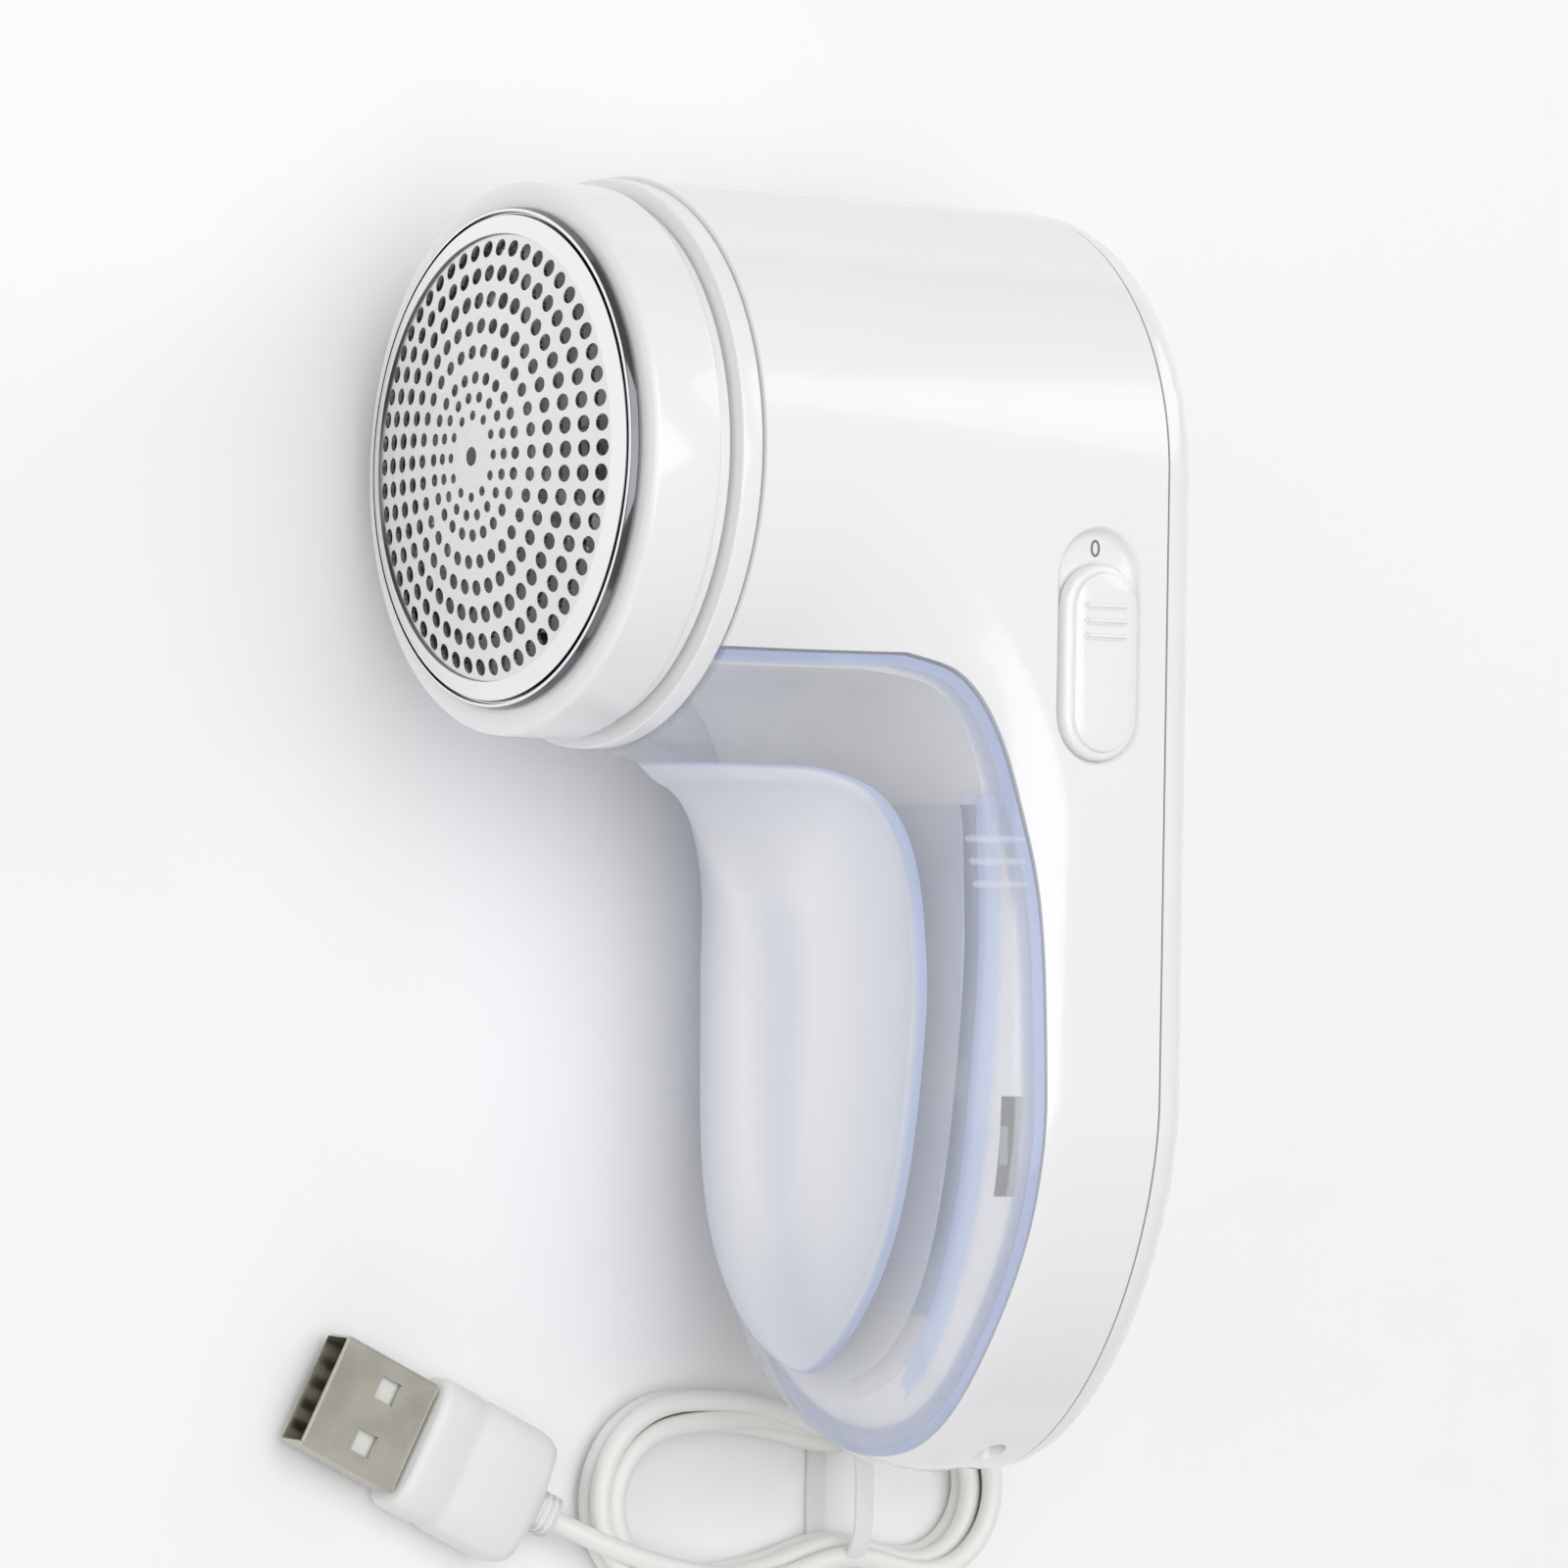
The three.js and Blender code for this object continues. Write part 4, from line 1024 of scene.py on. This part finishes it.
# The tail's points, as the part has them, its way on into the hank, and the way out to the USB plug.
TAIL = [(76, -79.1, 4.2), (75.9, -82, 3.6), (75.5, -85, 2.5), (75, -88, 1.8), (74.6, -91, 1.45),
        (74.6, -94.8, 1.4), (75.7, -98.4, 1.4), (77.2, -101.9, 1.4)]
OUT = [(40.5, -113.3, 6.0), (36, -112.5, 6.1), (32, -111.2, 6.0), (28.4, -109.7, 5.4),
       (25.5, -108.3, 4.4), (22.5, -106.72, 3.75)]


def hank_line():
    """The hank's turns, clockwise from above and from the right fold's furthest point: two beside
    each other in each layer, with the runs gathered at the tie."""
    run, steps = 15.0, 56  # half the straight part, and points to a turn
    berths = [(1, 0), (0, 0), (0, 1), (1, 1), (0.5, 2)]  # each turn's column and layer
    line = []
    for step in range(CORD["turns"] * steps):
        turn, share = divmod(step / steps, 1)
        here, there = berths[int(turn)], berths[min(int(turn) + 1, len(berths) - 1)]
        change = np.clip((share - 0.6) / 0.28, 0, 1)
        change = change**2 * (3 - 2 * change)
        column, layer = (a + (b - a) * change for a, b in zip(here, there))
        radius = CORD["fold"] + CORD["pitch"] * column
        quarter = np.pi * radius / 2
        along = share * (4 * run + 4 * quarter)
        if along < quarter:
            x, y = run + radius * np.cos(along / radius), -radius * np.sin(along / radius)
        elif along < quarter + 2 * run:
            x, y = run - (along - quarter), -radius
        elif along < 3 * quarter + 2 * run:
            turned_by = (along - quarter - 2 * run) / radius
            x, y = -run - radius * np.sin(turned_by), -radius * np.cos(turned_by)
        elif along < 3 * quarter + 4 * run:
            x, y = -run + (along - 3 * quarter - 2 * run), radius
        else:
            turned_by = (along - 3 * quarter - 4 * run) / radius
            x, y = run + radius * np.sin(turned_by), radius * np.cos(turned_by)
        gather = 3.0 * np.exp(-(((x - TIE_X) / 7) ** 2))
        y -= np.sign(y) * gather * min(1, abs(y) / 4)
        loose = 0.25 * np.sin(2.3 * (turn + share)) * (1 - gather / 3.0)
        height = 1.4 + CORD["pitch"] * layer + 0.25 * (1 - np.cos(2 * np.pi * (turn + share)))
        line.append((HANK_X + x + loose, HANK_Y + y + loose, height))
    return line


def add_cord():
    """One curve for the whole lead, from the DC plug's relief through the hank to the USB grip."""
    hank = hank_line()
    stop = next(i for i in range(len(hank) - 1, 0, -1)
                if hank[i][1] < HANK_Y - 4 and hank[i][0] > HANK_X - 10)
    route = TAIL + hank[:stop] + OUT
    points = np.array([(x, y, FLOOR + z) for x, y, z in route])
    for _ in range(2):  # eases the steps between the turns
        points[1:-1] = points[1:-1] * 0.5 + (points[:-2] + points[2:]) * 0.25
    data = bpy.data.curves.new("lead_cord", "CURVE")
    data.dimensions = "3D"
    data.bevel_depth = CORD["radius"] * MM
    data.bevel_resolution = 6
    data.resolution_u = 4
    data.use_fill_caps = True
    spline = data.splines.new("NURBS")
    spline.points.add(len(points) - 1)
    for node, point in zip(spline.points, points):
        node.co = (*place(point), 1)
    spline.use_endpoint_u = True
    spline.order_u = 4
    cord = bpy.data.objects.new("lead_cord", data)
    bpy.context.collection.objects.link(cord)
    show(cord, "charging_lead", "cord_white", "lead_tail", "lead_hank", "lead_usb_end")
    return cord


def add_tie():
    """A twist tie round the gathered hank, as a closed band; its two ends twisted together on top are
    not built.
    """
    angles = np.linspace(0, 2 * np.pi, 60, endpoint=False)
    wide, tall, x = 7.2, 4.3, HANK_X + TIE_X
    rings = []
    for a in angles:
        c, s = np.cos(a), np.sin(a)
        y = wide * np.sign(c) * abs(c) ** 0.6
        z = max(0.45, 4.15 + tall * np.sign(s) * abs(s) ** 0.8)
        out = np.array([0, c, s])
        centre = np.array([x + 0.4 * s, HANK_Y + y, FLOOR + z])
        rings.append([tuple(centre + np.array([w, 0, 0]) + out * d)
                      for w, d in ((-1.1, -0.18), (-1.1, 0.2), (0, 0.36), (1.1, 0.2), (1.1, -0.18))])
    tie = loft("tie_band", rings, closed=True, smooth_angle=50)
    show(tie, "charging_lead", "cord_white", "hank_tie", material="grip_white")


# ---------------------------------------------------------------- the scene

SLOT_OF = {entry["node"]: entry["material_slot"] for entry in frame["record"]["subparts"]}


def dress_cad_nodes():
    """Every CAD node that stays gets the finish of its material slot."""
    for name, node in frame["nodes"].items():
        node.data.materials.clear()
        node.data.materials.append(MATERIALS[SLOT_OF[name]])
        node.data.shade_smooth()
        node.data.set_sharp_from_angle(angle=np.radians(32))


add_camera()
add_studio()
add_floor()
usb_grip = add_usb_grip()
dc_grip = add_dc_plug()
add_usb_plug()
add_cord()
add_tie()
dress_cad_nodes()
add_housing()
add_rear_cover()
add_screws()
add_bin()
add_pad()
add_grip_ribs()
add_head()
add_foil()
add_spring()
add_switch()
